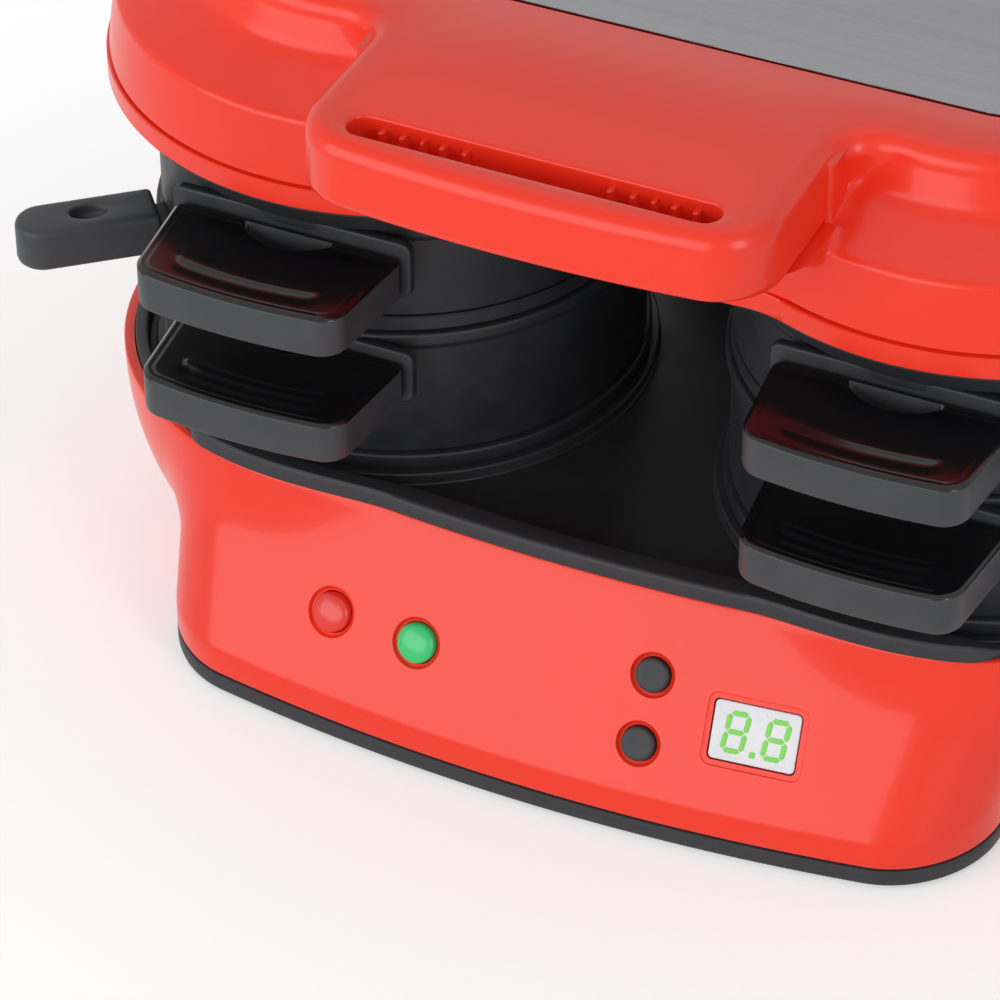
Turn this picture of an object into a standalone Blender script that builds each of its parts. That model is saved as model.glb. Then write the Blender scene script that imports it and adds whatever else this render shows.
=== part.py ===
"""Twin-pocket electric burger maker, built as it comes apart on a bench.

The frame is metres, X to the right, Y to the back and Z up. The origin is on the table, under the middle of
the line between the two pockets. The base holds two heated plates, a timer and its board. Each pocket has a
bottom ring, a top ring and a swinging plate between them, and one lid closes both. Lid and rings turn on one
steel rod at the back.
"""
import math

import bmesh
import bpy
from mathutils import Matrix, Vector

MM = 0.001

# Clearances
SEAT_GAP = 0.3 * MM
RUN_GAP = 0.3 * MM
RING_STEP = 0.35 * MM
OVERRUN = 6 * MM

# Pockets and the stack of rings
POCKET_PITCH = 154 * MM
RING_INNER_RADIUS = 56 * MM
RING_WALL = 4.6 * MM
RING_LIP = 1.6 * MM
RING_LIP_HEIGHT = 4 * MM
BOTTOM_RING_HEIGHT = 36 * MM
TOP_RING_HEIGHT = 26.8 * MM
EGG_PLATE_THICKNESS = 4 * MM

# Base housing
SKIRT_CLEARANCE = 1.2 * MM
COVER_HEIGHT = 4.8 * MM
COVER_FLOOR = 2 * MM
COVER_INSET = 5 * MM
BAND_TOP = 13 * MM
SHELL_TOP = 57.5 * MM
SHELL_WALL = 2.6 * MM
DRUM_RADIUS = 72.3 * MM
DRUM_DROP = 14 * MM
DRUM_DROP_HEIGHT = 48 * MM
DRUM_FLOOR = 7.5 * MM
DRUM_CURVE_POWER = 2.2
DRUM_FOOT_SHARE = 0.92
CONSOLE_FOOT_HALF_WIDTH = 109.5 * MM
CONSOLE_TOP_HALF_WIDTH = 117 * MM
CONSOLE_FOOT_FRONT = -98.6 * MM
CONSOLE_TOP_FRONT = -74.4 * MM
CONSOLE_FOOT_BOW = 11.8 * MM
CONSOLE_TOP_BOW = 13.6 * MM
CONSOLE_CORNER = 24 * MM
REAR_CORNER = 16 * MM
BASE_REAR = 98 * MM

# Tray
TRAY_FLOOR_TOP = 54 * MM
TRAY_FLOOR = 4 * MM
TRAY_WALL = 3.4 * MM
TRAY_EDGE_TOP = 59 * MM
TRAY_RIM_TOP = 62.4 * MM
TRAY_RIM_OVERHANG = 1 * MM
TRAY_RIM_FADE_START = 99 * MM
TRAY_RIM_FADE_END = 113 * MM
PLATE_SEAT_RADIUS = 64 * MM
PLATE_SEAT_TOP = 57 * MM
PLATE_HOLE_RADIUS = 56.5 * MM
POST_RADIUS = 4.5 * MM
POST_INSET = 13.5 * MM
POST_FRONT_Y = -60 * MM
POST_REAR_Y = 74 * MM
SCREW_RADIUS = 1.7 * MM
SCREW_LENGTH = 16 * MM
SCREW_HEAD_RADIUS = 3.4 * MM
SCREW_HEAD_HEIGHT = 1.6 * MM

# Feet
FOOT_RADIUS = 8 * MM
FOOT_RECESS = 1 * MM
FOOT_INSET = 30 * MM

# Heating
LOWER_PLATE_RADIUS = 62 * MM
LOWER_PLATE_THICKNESS = 4 * MM
LOWER_SKIRT_RADIUS = 55.9 * MM
LOWER_SKIRT_WALL = 3 * MM
LOWER_SKIRT_DEPTH = 6 * MM
ELEMENT_RADIUS = 38 * MM
ELEMENT_TUBE = 3.2 * MM
ELEMENT_GAP_ANGLE = 0.5
THERMOSTAT_RADIUS = 9 * MM
THERMOSTAT_HEIGHT = 7 * MM
THERMOSTAT_CAP_HEIGHT = 3 * MM
THERMOSTAT_CAP_RADIUS = 6 * MM

# Hinge
HINGE_Y = 86 * MM
HINGE_Z = 122 * MM
ROD_RADIUS = 3 * MM
ROD_HALF_LENGTH = 109 * MM
KNUCKLE_RADIUS = 6.5 * MM
ARM_THICKNESS = 5 * MM
ARM_SPACING = 6 * MM
TOP_ARM_OFFSET = 4 * MM
COLUMN_HALF_WIDTH = 32 * MM
COLUMN_FRONT = 67 * MM
COLUMN_REAR = 92.5 * MM
COLUMN_FOOT_REAR = 88 * MM
COLUMN_FLARE = 4 * MM
COLUMN_WALL = 3 * MM
COLUMN_HOLLOW_TOP = 113 * MM
COLUMN_TOP = 129.4 * MM
COLUMN_CORNER = 4 * MM
LID_INNER_ARM_X = 34 * MM
LID_ARM_THICKNESS = 6 * MM
POST_THICKNESS = 6 * MM
POST_FOOT_FRONT = 73 * MM
POST_FOOT_REAR = 87 * MM
BOTTOM_ARM_LOW = 74 * MM
BOTTOM_ARM_HIGH = 94 * MM
BOTTOM_ARM_CLEAR_Y = 66 * MM
BOTTOM_ARM_ELBOW_Y = 79 * MM
BOTTOM_ARM_ELBOW_Z = 86 * MM
TOP_ARM_LOW = 113 * MM
LID_ARM_START_Y = 72 * MM
LID_OUTER_ARM_START_Y = 67.6 * MM
LID_ARM_LOW = 138.9 * MM
LID_ARM_HIGH = 156 * MM
LID_ARM_KNEE_Y = 81 * MM
LID_ARM_KNEE_Z = 148 * MM

# Ring handles
HANDLE_HALF_WIDTH = 27.5 * MM
HANDLE_FRONT = -93.3 * MM
HANDLE_BOW = 2.2 * MM
HANDLE_CORNER = 5.5 * MM
HANDLE_THICKNESS = 11.6 * MM
HANDLE_CHAMFER = 1.2 * MM
HANDLE_DISH_INSET = 2.6 * MM
HANDLE_DISH_DEPTH = 1.3 * MM
LOWER_HANDLE_TOP = 94.6 * MM
UPPER_HANDLE_TOP = 125.3 * MM
BRACKET_HALF_WIDTH = 31.5 * MM
BRACKET_FRONT = -61.8 * MM
BRACKET_DEPTH = 5 * MM
BRACKET_BELOW_HANDLE = 0.8 * MM
BRACKET_TOP_DROP = 0.9 * MM
BRACKET_CHAMFER = 1 * MM

# Swinging plates
EGG_PLATE_RADIUS = 61 * MM
EGG_DISH_RADIUS = 50 * MM
EGG_DISH_DEPTH = 1.6 * MM
EGG_PIVOT_DISTANCE = 68 * MM
EGG_PIVOT_ANGLE = 130
EGG_EAR_RADIUS = 6 * MM
EGG_PIN_RADIUS = 2 * MM
EGG_PIN_HEAD_RADIUS = 4 * MM
EGG_PIN_HEAD = 1.8 * MM
EGG_BOSS_HEIGHT = 10 * MM
EGG_HANDLE_ANGLE = 220
EGG_HANDLE_START = 63 * MM
EGG_HANDLE_END = 97 * MM
EGG_HANDLE_HALF_WIDTH = 6.8 * MM
EGG_HANDLE_THICKNESS = 11.5 * MM
EGG_HANDLE_CHAMFER = 1 * MM
EGG_TANG_END = 77 * MM
EGG_TANG_HALF_WIDTH = 4.6 * MM
EGG_DIMPLE_CENTRE = 82 * MM
EGG_DIMPLE_HALF_LENGTH = 5 * MM
EGG_DIMPLE_HALF_WIDTH = 3.6 * MM
EGG_DIMPLE_DEPTH = 2 * MM

# Lid
LID_BOTTOM = 138.3 * MM
LID_FLANGE_HEIGHT = 5.8 * MM
LID_FLANGE_RADIUS = 72 * MM
LID_WALL_RADIUS = 71 * MM
LID_CREASE_RADIUS = 69 * MM
LID_CREASE_SHARE = 0.5333
LID_SHOULDER_RADIUS = 52.5 * MM
LID_SHOULDER_SHARE = 0.6943
LID_DOME_RADIUS = 49.5 * MM
LID_DOME_SHARE = 0.8897
LID_HEIGHT = 43.5 * MM
LID_EDGE_ROUND = 5 * MM
LID_WALL = 2.6 * MM
LID_NECK_HALF_WIDTH = 59.5 * MM
LID_NECK_DRAFT = 4 * MM
LID_REAR_CORNER = 8 * MM
LID_REAR = 74 * MM
TONGUE_HALF_WIDTH = 57.6 * MM
TONGUE_FRONT = -103.7 * MM
TONGUE_BOW = 3.9 * MM
TONGUE_CORNER = 14 * MM
TONGUE_SHARE = 0.5862
COVE_FOOT_Y = -62 * MM
COVE_REACH = 26 * MM
SLOT_HALF_LENGTH = 46 * MM
SLOT_HALF_WIDTH = 4 * MM
SLOT_Y = -85 * MM
SLOT_RIB_WIDTH = 1.2 * MM
SLOT_RIB_PITCH = 7.5 * MM
SLOT_RIB_COUNT = 4
PANEL_HALF_WIDTH = 104 * MM
PANEL_FRONT = -31 * MM
PANEL_REAR = 44 * MM
PANEL_CORNER = 22 * MM
PANEL_THICKNESS = 1.2 * MM
PANEL_RECESS = 1.2 * MM
PANEL_GAP = 0.6 * MM

# Lid liner and upper plates
LINER_BOTTOM = 129.4 * MM
LINER_LEDGE = 131.2 * MM
LINER_BRIDGE_THICKNESS = 2.8 * MM
LINER_FOOT_RADIUS = 64.5 * MM
LINER_RIM_WALL = 2.4 * MM
LINER_HOLE_RADIUS = 56 * MM
LINER_FRONT = -56 * MM
LINER_REAR = 73 * MM
UPPER_PLATE_RADIUS = 55.2 * MM
UPPER_PLATE_BOTTOM = 126.6 * MM
UPPER_PLATE_THICKNESS = 3.4 * MM
UPPER_PLATE_WALL = 3 * MM
UPPER_FLANGE_RADIUS = 60 * MM
UPPER_FLANGE = 2.4 * MM

# Controls on the slanted front
CONTROL_Z = 31.6 * MM
POWER_LIGHT_X = -57.2 * MM
READY_LIGHT_X = -33.2 * MM
LIGHT_RADIUS = 5 * MM
LIGHT_DOME = 1.8 * MM
LIGHT_STEM_RADIUS = 3 * MM
LIGHT_DEPTH = 4.6 * MM
BEZEL_WIDTH = 1.6 * MM
BEZEL_DEPTH = 0.9 * MM
BUTTON_X = 27.3 * MM
BUTTON_UP_Z = 39.5 * MM
BUTTON_DOWN_Z = 24.5 * MM
BUTTON_RADIUS = 4.2 * MM
BUTTON_PROUD = 0.9 * MM
BUTTON_CAP = 3.2 * MM
BUTTON_FLANGE = 1.2 * MM
BUTTON_FLANGE_HEIGHT = 1 * MM
BUTTON_TRAVEL = 1 * MM
BUTTON_STEM_RADIUS = 1.8 * MM
BUTTON_DEPTH = 7 * MM
DISPLAY_X = 54.5 * MM
DISPLAY_HALF_WIDTH = 10.6 * MM
DISPLAY_HALF_HEIGHT = 7.2 * MM
DISPLAY_RECESS = 0.5 * MM
DISPLAY_DEPTH = 4.8 * MM
BOARD_DEPTH = 10 * MM
BOARD_THICKNESS = 1.6 * MM
BOARD_HALF_WIDTH = 70 * MM
BOARD_HALF_HEIGHT = 12 * MM
BOARD_POST_RADIUS = 2.6 * MM
BOARD_POST_X = 41.25 * MM
BOARD_CENTRE_X = -3.75 * MM

# Cord gland in the rear wall
GLAND_X = 62 * MM
GLAND_Z = 24 * MM
GLAND_RADIUS = 7 * MM
GLAND_FLANGE_RADIUS = 9 * MM
GLAND_FLANGE = 2 * MM
GLAND_BORE_RADIUS = 3.6 * MM
GLAND_NOSE = 5.7 * MM

# Facets
WELD_DISTANCE = 0.002 * MM
ROUND_STEPS = 32
SMALL_STEPS = 12
BOW_STEPS = 8
CORNER_STEPS = 3

SIDES = (("left", -1), ("right", 1))
FINISHES = {
    "red": ((0.72, 0.035, 0.02), 0.22, 0.0),
    "black": ((0.028, 0.029, 0.032), 0.45, 0.0),
    "coating": ((0.02, 0.02, 0.022), 0.35, 0.2),
    "steel": ((0.5, 0.5, 0.5), 0.3, 1.0),
    "rubber": ((0.02, 0.02, 0.02), 0.8, 0.0),
    "white": ((0.8, 0.8, 0.82), 0.3, 0.0),
    "red_lens": ((0.6, 0.02, 0.02), 0.15, 0.0),
    "green_lens": ((0.02, 0.5, 0.12), 0.15, 0.0),
    "board": ((0.02, 0.16, 0.06), 0.5, 0.0),
}


# Levels that follow from the sizes above

COVER_BOTTOM = SKIRT_CLEARANCE
COVER_TOP = COVER_BOTTOM + COVER_HEIGHT
SHELL_BOTTOM = COVER_TOP + SEAT_GAP
LOWER_PLATE_BOTTOM = PLATE_SEAT_TOP + SEAT_GAP
LOWER_PLATE_TOP = LOWER_PLATE_BOTTOM + LOWER_PLATE_THICKNESS
BOTTOM_RING_BOTTOM = LOWER_PLATE_TOP + RING_STEP
BOTTOM_RING_TOP = BOTTOM_RING_BOTTOM + BOTTOM_RING_HEIGHT
EGG_PLATE_BOTTOM = BOTTOM_RING_TOP + RING_STEP
EGG_PLATE_TOP = EGG_PLATE_BOTTOM + EGG_PLATE_THICKNESS
TOP_RING_BOTTOM = EGG_PLATE_TOP + RING_STEP
TOP_RING_TOP = TOP_RING_BOTTOM + TOP_RING_HEIGHT
RING_RADIUS = RING_INNER_RADIUS + RING_WALL
LINER_TOP = LID_BOTTOM - SEAT_GAP
LID_TOP = LID_BOTTOM + LID_HEIGHT
LID_CREASE_Z = LID_BOTTOM + LID_HEIGHT * LID_CREASE_SHARE
LID_SHOULDER_Z = LID_BOTTOM + LID_HEIGHT * LID_SHOULDER_SHARE
LID_DOME_Z = LID_BOTTOM + LID_HEIGHT * LID_DOME_SHARE
TONGUE_BOTTOM = LID_BOTTOM + LID_HEIGHT * TONGUE_SHARE
UNDERSIDE_HALF_WIDTH = min(CONSOLE_FOOT_HALF_WIDTH, CONSOLE_TOP_HALF_WIDTH)
POST_X = UNDERSIDE_HALF_WIDTH - POST_INSET
LID_OUTER_ARM_X = POCKET_PITCH / 2 + TOP_ARM_OFFSET + 2 * ARM_SPACING
OUTER_POST_X = LID_OUTER_ARM_X + LID_ARM_THICKNESS + (ARM_SPACING - ARM_THICKNESS)


def clear_scene():
    """Remove every object that the file starts with."""
    for item in list(bpy.data.objects):
        bpy.data.objects.remove(item)


def make_finishes():
    """Make one Principled material for each finish and return them by name."""
    made = {}
    for name, (colour, roughness, metallic) in FINISHES.items():
        material = bpy.data.materials.new(name)
        material.use_nodes = True
        shader = material.node_tree.nodes["Principled BSDF"]
        shader.inputs["Base Color"].default_value = (*colour, 1.0)
        shader.inputs["Roughness"].default_value = roughness
        shader.inputs["Metallic"].default_value = metallic
        made[name] = material
    return made


def object_from(name, points, faces):
    """Make an object from points and faces, with its faces turned outwards."""
    mesh = bpy.data.meshes.new(name)
    mesh.from_pydata([tuple(point) for point in points], [], faces)
    shape = bmesh.new()
    shape.from_mesh(mesh)
    bmesh.ops.recalc_face_normals(shape, faces=shape.faces)
    shape.to_mesh(mesh)
    shape.free()
    item = bpy.data.objects.new(name, mesh)
    bpy.context.collection.objects.link(item)
    return item


def loft(name, rings):
    """Skin a stack of closed rings of points, all with the same count, and cap both ends."""
    count = len(rings[0])
    points = [point for ring in rings for point in ring]
    faces = []
    for level in range(len(rings) - 1):
        low = level * count
        high = low + count
        for index in range(count):
            after = (index + 1) % count
            faces.append((low + index, low + after, high + after, high + index))
    faces.append(tuple(reversed(range(count))))
    faces.append(tuple(range(len(points) - count, len(points))))
    return object_from(name, points, faces)


def at_height(outline, z):
    """Lift a flat outline to a height."""
    return [(x, y, z) for x, y in outline]


def prism(name, outline, bottom, top):
    """Extrude a flat outline along Z."""
    return loft(name, [at_height(outline, bottom), at_height(outline, top)])


def side_prism(name, profile, left, right):
    """Extrude a profile of Y and Z along X."""
    return loft(name, [[(left, y, z) for y, z in profile], [(right, y, z) for y, z in profile]])


def box(name, low, high):
    """Make a box between two corners."""
    outline = [(low[0], low[1]), (high[0], low[1]), (high[0], high[1]), (low[0], high[1])]
    return prism(name, outline, low[2], high[2])


def turned(name, profile, centre=(0.0, 0.0), steps=ROUND_STEPS):
    """Turn a closed profile of radius and height round a vertical axis."""
    points = []
    spans = []
    for radius, height in profile:
        if radius <= 0:
            spans.append([len(points)] * steps)
            points.append((centre[0], centre[1], height))
            continue
        start = len(points)
        for step in range(steps):
            angle = 2 * math.pi * step / steps
            x = centre[0] + radius * math.cos(angle)
            y = centre[1] + radius * math.sin(angle)
            points.append((x, y, height))
        spans.append(list(range(start, start + steps)))
    faces = []
    for index in range(len(profile)):
        here = spans[index]
        there = spans[(index + 1) % len(profile)]
        if profile[index][0] <= 0 and profile[(index + 1) % len(profile)][0] <= 0:
            continue
        for step in range(steps):
            after = (step + 1) % steps
            corners = [here[step], here[after], there[after], there[step]]
            face = []
            for corner in corners:
                if corner not in face:
                    face.append(corner)
            faces.append(tuple(face))
    return object_from(name, points, faces)


def cylinder(name, centre, radius, bottom, top, steps=SMALL_STEPS):
    """Make an upright cylinder."""
    profile = [(0.0, bottom), (radius, bottom), (radius, top), (0.0, top)]
    return turned(name, profile, centre, steps)


def cross_cylinder(name, left, right, radius, steps=SMALL_STEPS):
    """Make a cylinder along X on the hinge axis."""
    profile = []
    for step in range(steps):
        angle = 2 * math.pi * step / steps
        profile.append((HINGE_Y + radius * math.cos(angle), HINGE_Z + radius * math.sin(angle)))
    return side_prism(name, profile, left, right)


def apply_tool(target, tool, operation):
    """Join, cut or intersect a target with one tool, then remove the tool."""
    modifier = target.modifiers.new(operation.lower(), "BOOLEAN")
    modifier.operation = operation
    modifier.solver = "EXACT"
    modifier.object = tool
    bpy.context.view_layer.update()
    graph = bpy.context.evaluated_depsgraph_get()
    mesh = bpy.data.meshes.new_from_object(target.evaluated_get(graph))
    shape = bmesh.new()
    shape.from_mesh(mesh)
    bmesh.ops.remove_doubles(shape, verts=shape.verts, dist=WELD_DISTANCE)
    bmesh.ops.dissolve_degenerate(shape, edges=shape.edges, dist=WELD_DISTANCE)
    shape.to_mesh(mesh)
    shape.free()
    target.modifiers.clear()
    target.data = mesh
    bpy.data.objects.remove(tool)
    return target


def join(target, *tools):
    """Fuse tools into a target."""
    for tool in tools:
        apply_tool(target, tool, "UNION")
    return target


def cut(target, *tools):
    """Cut tools out of a target."""
    for tool in tools:
        apply_tool(target, tool, "DIFFERENCE")
    return target


def keep_common(target, tool):
    """Keep what a target shares with a tool."""
    return apply_tool(target, tool, "INTERSECT")


def arc(centre, radius, start, end, steps):
    """List points along an arc, angles in radians."""
    points = []
    for step in range(steps + 1):
        angle = start + (end - start) * step / steps
        points.append((centre[0] + radius * math.cos(angle), centre[1] + radius * math.sin(angle)))
    return points


def bow_radius(half_width, bow):
    """Radius of a front edge that falls back by bow at half_width."""
    return (half_width ** 2 + bow ** 2) / (2 * bow)


def bow_y(x, half_width, front, bow):
    """Depth of a bowed front edge at x."""
    radius = bow_radius(half_width, bow)
    return front + radius - math.sqrt(radius ** 2 - x ** 2)


def bowed_outline(half_width, front, bow, corner, rear, rear_corner):
    """Outline seen from above: bowed front, round corners, straight sides and rear."""
    radius = bow_radius(half_width, bow)
    centre_x = half_width - corner
    centre_y = front + radius - math.sqrt((radius - corner) ** 2 - centre_x ** 2)
    lean = math.asin(centre_x / (radius - corner))
    edge = radius * math.sin(lean)
    points = []
    for step in range(1, BOW_STEPS):
        x = -edge + 2 * edge * step / BOW_STEPS
        points.append((x, bow_y(x, half_width, front, bow)))
    points += arc((centre_x, centre_y), corner, lean - math.pi / 2, 0.0, CORNER_STEPS)
    points += arc((half_width - rear_corner, rear - rear_corner), rear_corner, 0.0, math.pi / 2, CORNER_STEPS)
    points += arc((rear_corner - half_width, rear - rear_corner), rear_corner, math.pi / 2, math.pi, CORNER_STEPS)
    points += arc((-centre_x, centre_y), corner, math.pi, 1.5 * math.pi - lean, CORNER_STEPS)
    return points


def rounded_rectangle(low, high, corner):
    """Outline of a rectangle with round corners."""
    points = arc((high[0] - corner, low[1] + corner), corner, -math.pi / 2, 0.0, CORNER_STEPS)
    points += arc((high[0] - corner, high[1] - corner), corner, 0.0, math.pi / 2, CORNER_STEPS)
    points += arc((low[0] + corner, high[1] - corner), corner, math.pi / 2, math.pi, CORNER_STEPS)
    points += arc((low[0] + corner, low[1] + corner), corner, math.pi, 1.5 * math.pi, CORNER_STEPS)
    return points


def console_outline(share, inset, rear_inset):
    """Console outline at a share of the slanted face's height, moved inwards by inset."""
    half_width = CONSOLE_FOOT_HALF_WIDTH + share * (CONSOLE_TOP_HALF_WIDTH - CONSOLE_FOOT_HALF_WIDTH)
    front = CONSOLE_FOOT_FRONT + share * (CONSOLE_TOP_FRONT - CONSOLE_FOOT_FRONT)
    bow = CONSOLE_FOOT_BOW + share * (CONSOLE_TOP_BOW - CONSOLE_FOOT_BOW)
    return bowed_outline(half_width - inset, front + inset, bow, CONSOLE_CORNER - inset,
                         BASE_REAR - rear_inset, REAR_CORNER - rear_inset)


def face_share(z):
    """Share of the slanted face's height that lies below z."""
    return (z - BAND_TOP) / (SHELL_TOP - BAND_TOP)


def console_body(name, inset, bottom, top):
    """Solid of the middle of the base between two heights, moved inwards by inset."""
    rings = [at_height(console_outline(0.0, inset, inset), bottom),
             at_height(console_outline(0.0, inset, inset), BAND_TOP),
             at_height(console_outline(face_share(top), inset, inset), top)]
    return loft(name, rings)


def drum_radius_at(height):
    """Outer radius of a drum: the wall draws in to the floor as a power curve."""
    share = max(0.0, (SHELL_TOP - height) / DRUM_DROP_HEIGHT)
    return DRUM_RADIUS - DRUM_DROP * share ** DRUM_CURVE_POWER


def drum_profile(inset, floor, top, steps=9):
    """Half section of a drum, moved inwards by inset."""
    rows = []
    for step in range(steps + 1):
        height = floor + (top - floor) * step / steps
        rows.append((drum_radius_at(min(height, SHELL_TOP)) - inset, height))
    foot = rows[0][0] * DRUM_FOOT_SHARE
    return [(0.0, floor), (foot, floor)] + rows[1:] + [(0.0, top)]


def face_frame(x, z):
    """Frame on the slanted face: local Z points out of the face, local X along it."""
    share = face_share(z)
    low = bow_y(x, CONSOLE_FOOT_HALF_WIDTH, CONSOLE_FOOT_FRONT, CONSOLE_FOOT_BOW)
    high = bow_y(x, CONSOLE_TOP_HALF_WIDTH, CONSOLE_TOP_FRONT, CONSOLE_TOP_BOW)
    y = low + share * (high - low)
    half_width = CONSOLE_FOOT_HALF_WIDTH + share * (CONSOLE_TOP_HALF_WIDTH - CONSOLE_FOOT_HALF_WIDTH)
    bow = CONSOLE_FOOT_BOW + share * (CONSOLE_TOP_BOW - CONSOLE_FOOT_BOW)
    turn = math.asin(x / bow_radius(half_width, bow))
    lean = math.atan2(high - low, SHELL_TOP - BAND_TOP)
    along = Vector((math.cos(turn), math.sin(turn), 0.0))
    normal = Vector((math.sin(turn) * math.cos(lean), -math.cos(turn) * math.cos(lean), math.sin(lean)))
    upward = normal.cross(along)
    frame = Matrix((along, upward, normal)).transposed().to_4x4()
    frame.translation = Vector((x, y, z))
    return frame


def on_face(item, x, z):
    """Move an item that was made round the local origin onto the slanted face."""
    item.data.transform(face_frame(x, z))
    return item


def finish(item, name, material):
    """Name a piece, give it its material and shade its round faces smooth."""
    item.name = name
    item.data.name = name
    shape = bmesh.new()
    shape.from_mesh(item.data)
    bmesh.ops.remove_doubles(shape, verts=shape.verts, dist=WELD_DISTANCE)
    bmesh.ops.dissolve_degenerate(shape, edges=shape.edges, dist=WELD_DISTANCE)
    bmesh.ops.triangulate(shape, faces=[face for face in shape.faces if len(face.verts) > 4])
    shape.to_mesh(item.data)
    shape.free()
    item.data.materials.clear()
    item.data.materials.append(material)
    item.data.shade_smooth()
    item.data.set_sharp_from_angle(angle=math.radians(30))
    return item


def pocket_x(side):
    """Middle of a pocket along X."""
    return side * POCKET_PITCH / 2


def base_shell(finishes):
    """Red housing: two drums and a slanted console, hollow, open below and above."""
    shell = console_body("base_shell", 0.0, SHELL_BOTTOM, SHELL_TOP)
    for _, side in SIDES:
        drum = turned("drum", drum_profile(0.0, DRUM_FLOOR, SHELL_TOP), (pocket_x(side), 0.0))
        join(shell, drum)
    hollow = console_body("hollow", SHELL_WALL, SHELL_BOTTOM - OVERRUN, SHELL_TOP + OVERRUN)
    for _, side in SIDES:
        bowl = drum_profile(SHELL_WALL, DRUM_FLOOR + SHELL_WALL, SHELL_TOP + OVERRUN)
        join(hollow, turned("bowl", bowl, (pocket_x(side), 0.0)))
    cut(shell, hollow)
    for _, side in SIDES:
        join(shell, board_post(side))
    for x in (POWER_LIGHT_X, READY_LIGHT_X):
        cut(shell, *bezel_tools(x, CONTROL_Z, LIGHT_RADIUS))
    for z in (BUTTON_UP_Z, BUTTON_DOWN_Z):
        cut(shell, *bezel_tools(BUTTON_X, z, BUTTON_RADIUS))
    cut(shell, display_tool(), gland_tool())
    return finish(shell, "base_shell", finishes["red"])


def board_post(side):
    """Boss inside the slanted face that carries the board, made in the board's own frame."""
    sag = BOARD_POST_X ** 2 / (2 * bow_radius(CONSOLE_TOP_HALF_WIDTH, CONSOLE_TOP_BOW))
    post = cylinder("board_post", (side * BOARD_POST_X, 0.0), BOARD_POST_RADIUS, SEAT_GAP - BOARD_DEPTH,
                    -sag - SHELL_WALL / 2)
    return on_face(post, BOARD_CENTRE_X, CONTROL_Z)


def bezel_tools(x, z, radius):
    """Cutters for a round control: the through hole and the shallow dish round it."""
    hole = cylinder("hole", (0.0, 0.0), radius + RUN_GAP, -BOARD_DEPTH, OVERRUN)
    dish_radius = radius + BEZEL_WIDTH
    dish = turned("dish", [(0.0, -BEZEL_DEPTH), (radius + RUN_GAP * 2, -BEZEL_DEPTH),
                           (dish_radius, BEZEL_DEPTH), (0.0, BEZEL_DEPTH)], steps=SMALL_STEPS)
    return on_face(hole, x, z), on_face(dish, x, z)


def display_tool():
    """Cutter for the display's window."""
    corner = (DISPLAY_HALF_WIDTH + RUN_GAP, DISPLAY_HALF_HEIGHT + RUN_GAP)
    window = box("window", (-corner[0], -corner[1], -BOARD_DEPTH), (corner[0], corner[1], OVERRUN))
    return on_face(window, DISPLAY_X, CONTROL_Z)


def gland_tool():
    """Cutter for the cord gland in the rear wall."""
    hole = cylinder("gland_hole", (0.0, 0.0), GLAND_RADIUS + RUN_GAP, -OVERRUN, OVERRUN)
    hole.data.transform(Matrix.Rotation(math.pi / 2, 4, "X"))
    hole.data.transform(Matrix.Translation((GLAND_X, BASE_REAR, GLAND_Z)))
    return hole


def tray_cavity(name):
    """Cutter for the open top of the tray."""
    inset = SHELL_WALL + SEAT_GAP + TRAY_WALL
    cavity = prism(name, console_outline(1.0, inset, inset), TRAY_FLOOR_TOP, TRAY_RIM_TOP + OVERRUN)
    for _, side in SIDES:
        radius = DRUM_RADIUS - inset
        join(cavity, cylinder("well", (pocket_x(side), 0.0), radius, TRAY_FLOOR_TOP,
                              TRAY_RIM_TOP + OVERRUN, ROUND_STEPS))
    return cavity


def post_places():
    """Places of the four screw posts."""
    return [(side * POST_X, y) for y in (POST_FRONT_Y, POST_REAR_Y) for _, side in SIDES]


def base_tray(finishes):
    """Black tray: floor, walls inside the shell, front rim over it, plate seats and screw posts."""
    inset = SHELL_WALL + SEAT_GAP
    bottom = TRAY_FLOOR_TOP - TRAY_FLOOR
    levels = [at_height(console_outline(face_share(z), inset, inset), z) for z in (bottom, TRAY_EDGE_TOP)]
    tray = loft("base_tray", levels)
    rim = prism("rim", console_outline(1.0, -TRAY_RIM_OVERHANG, 0.0), SHELL_TOP + SEAT_GAP, TRAY_RIM_TOP)
    fade = [(-TRAY_RIM_FADE_END, SHELL_TOP), (TRAY_RIM_FADE_END, SHELL_TOP),
            (TRAY_RIM_FADE_START, TRAY_RIM_TOP + OVERRUN), (-TRAY_RIM_FADE_START, TRAY_RIM_TOP + OVERRUN)]
    front = CONSOLE_TOP_FRONT - OVERRUN
    wedge = loft("wedge", [[(x, front, z) for x, z in fade], [(x, 0.0, z) for x, z in fade]])
    join(tray, keep_common(rim, wedge))
    for _, side in SIDES:
        place = (pocket_x(side), 0.0)
        disc = [(0.0, bottom), (drum_radius_at(bottom) - inset, bottom),
                (DRUM_RADIUS - inset, SHELL_TOP - SEAT_GAP), (0.0, SHELL_TOP - SEAT_GAP)]
        join(tray, turned("disc", disc, place))
    cut(tray, tray_cavity("cavity"))
    for _, side in SIDES:
        place = (pocket_x(side), 0.0)
        join(tray, cylinder("seat", place, PLATE_SEAT_RADIUS, bottom, PLATE_SEAT_TOP, ROUND_STEPS))
        cut(tray, cylinder("hole", place, PLATE_HOLE_RADIUS, bottom - OVERRUN, TRAY_RIM_TOP, ROUND_STEPS))
    foot = COVER_BOTTOM + COVER_FLOOR + SEAT_GAP
    for place in post_places():
        join(tray, cylinder("post", place, POST_RADIUS, foot, TRAY_FLOOR_TOP - TRAY_FLOOR / 2))
        cut(tray, cylinder("bore", place, SCREW_RADIUS + SEAT_GAP, foot - OVERRUN, foot + SCREW_LENGTH))
    return finish(tray, "base_tray", finishes["black"])


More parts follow.
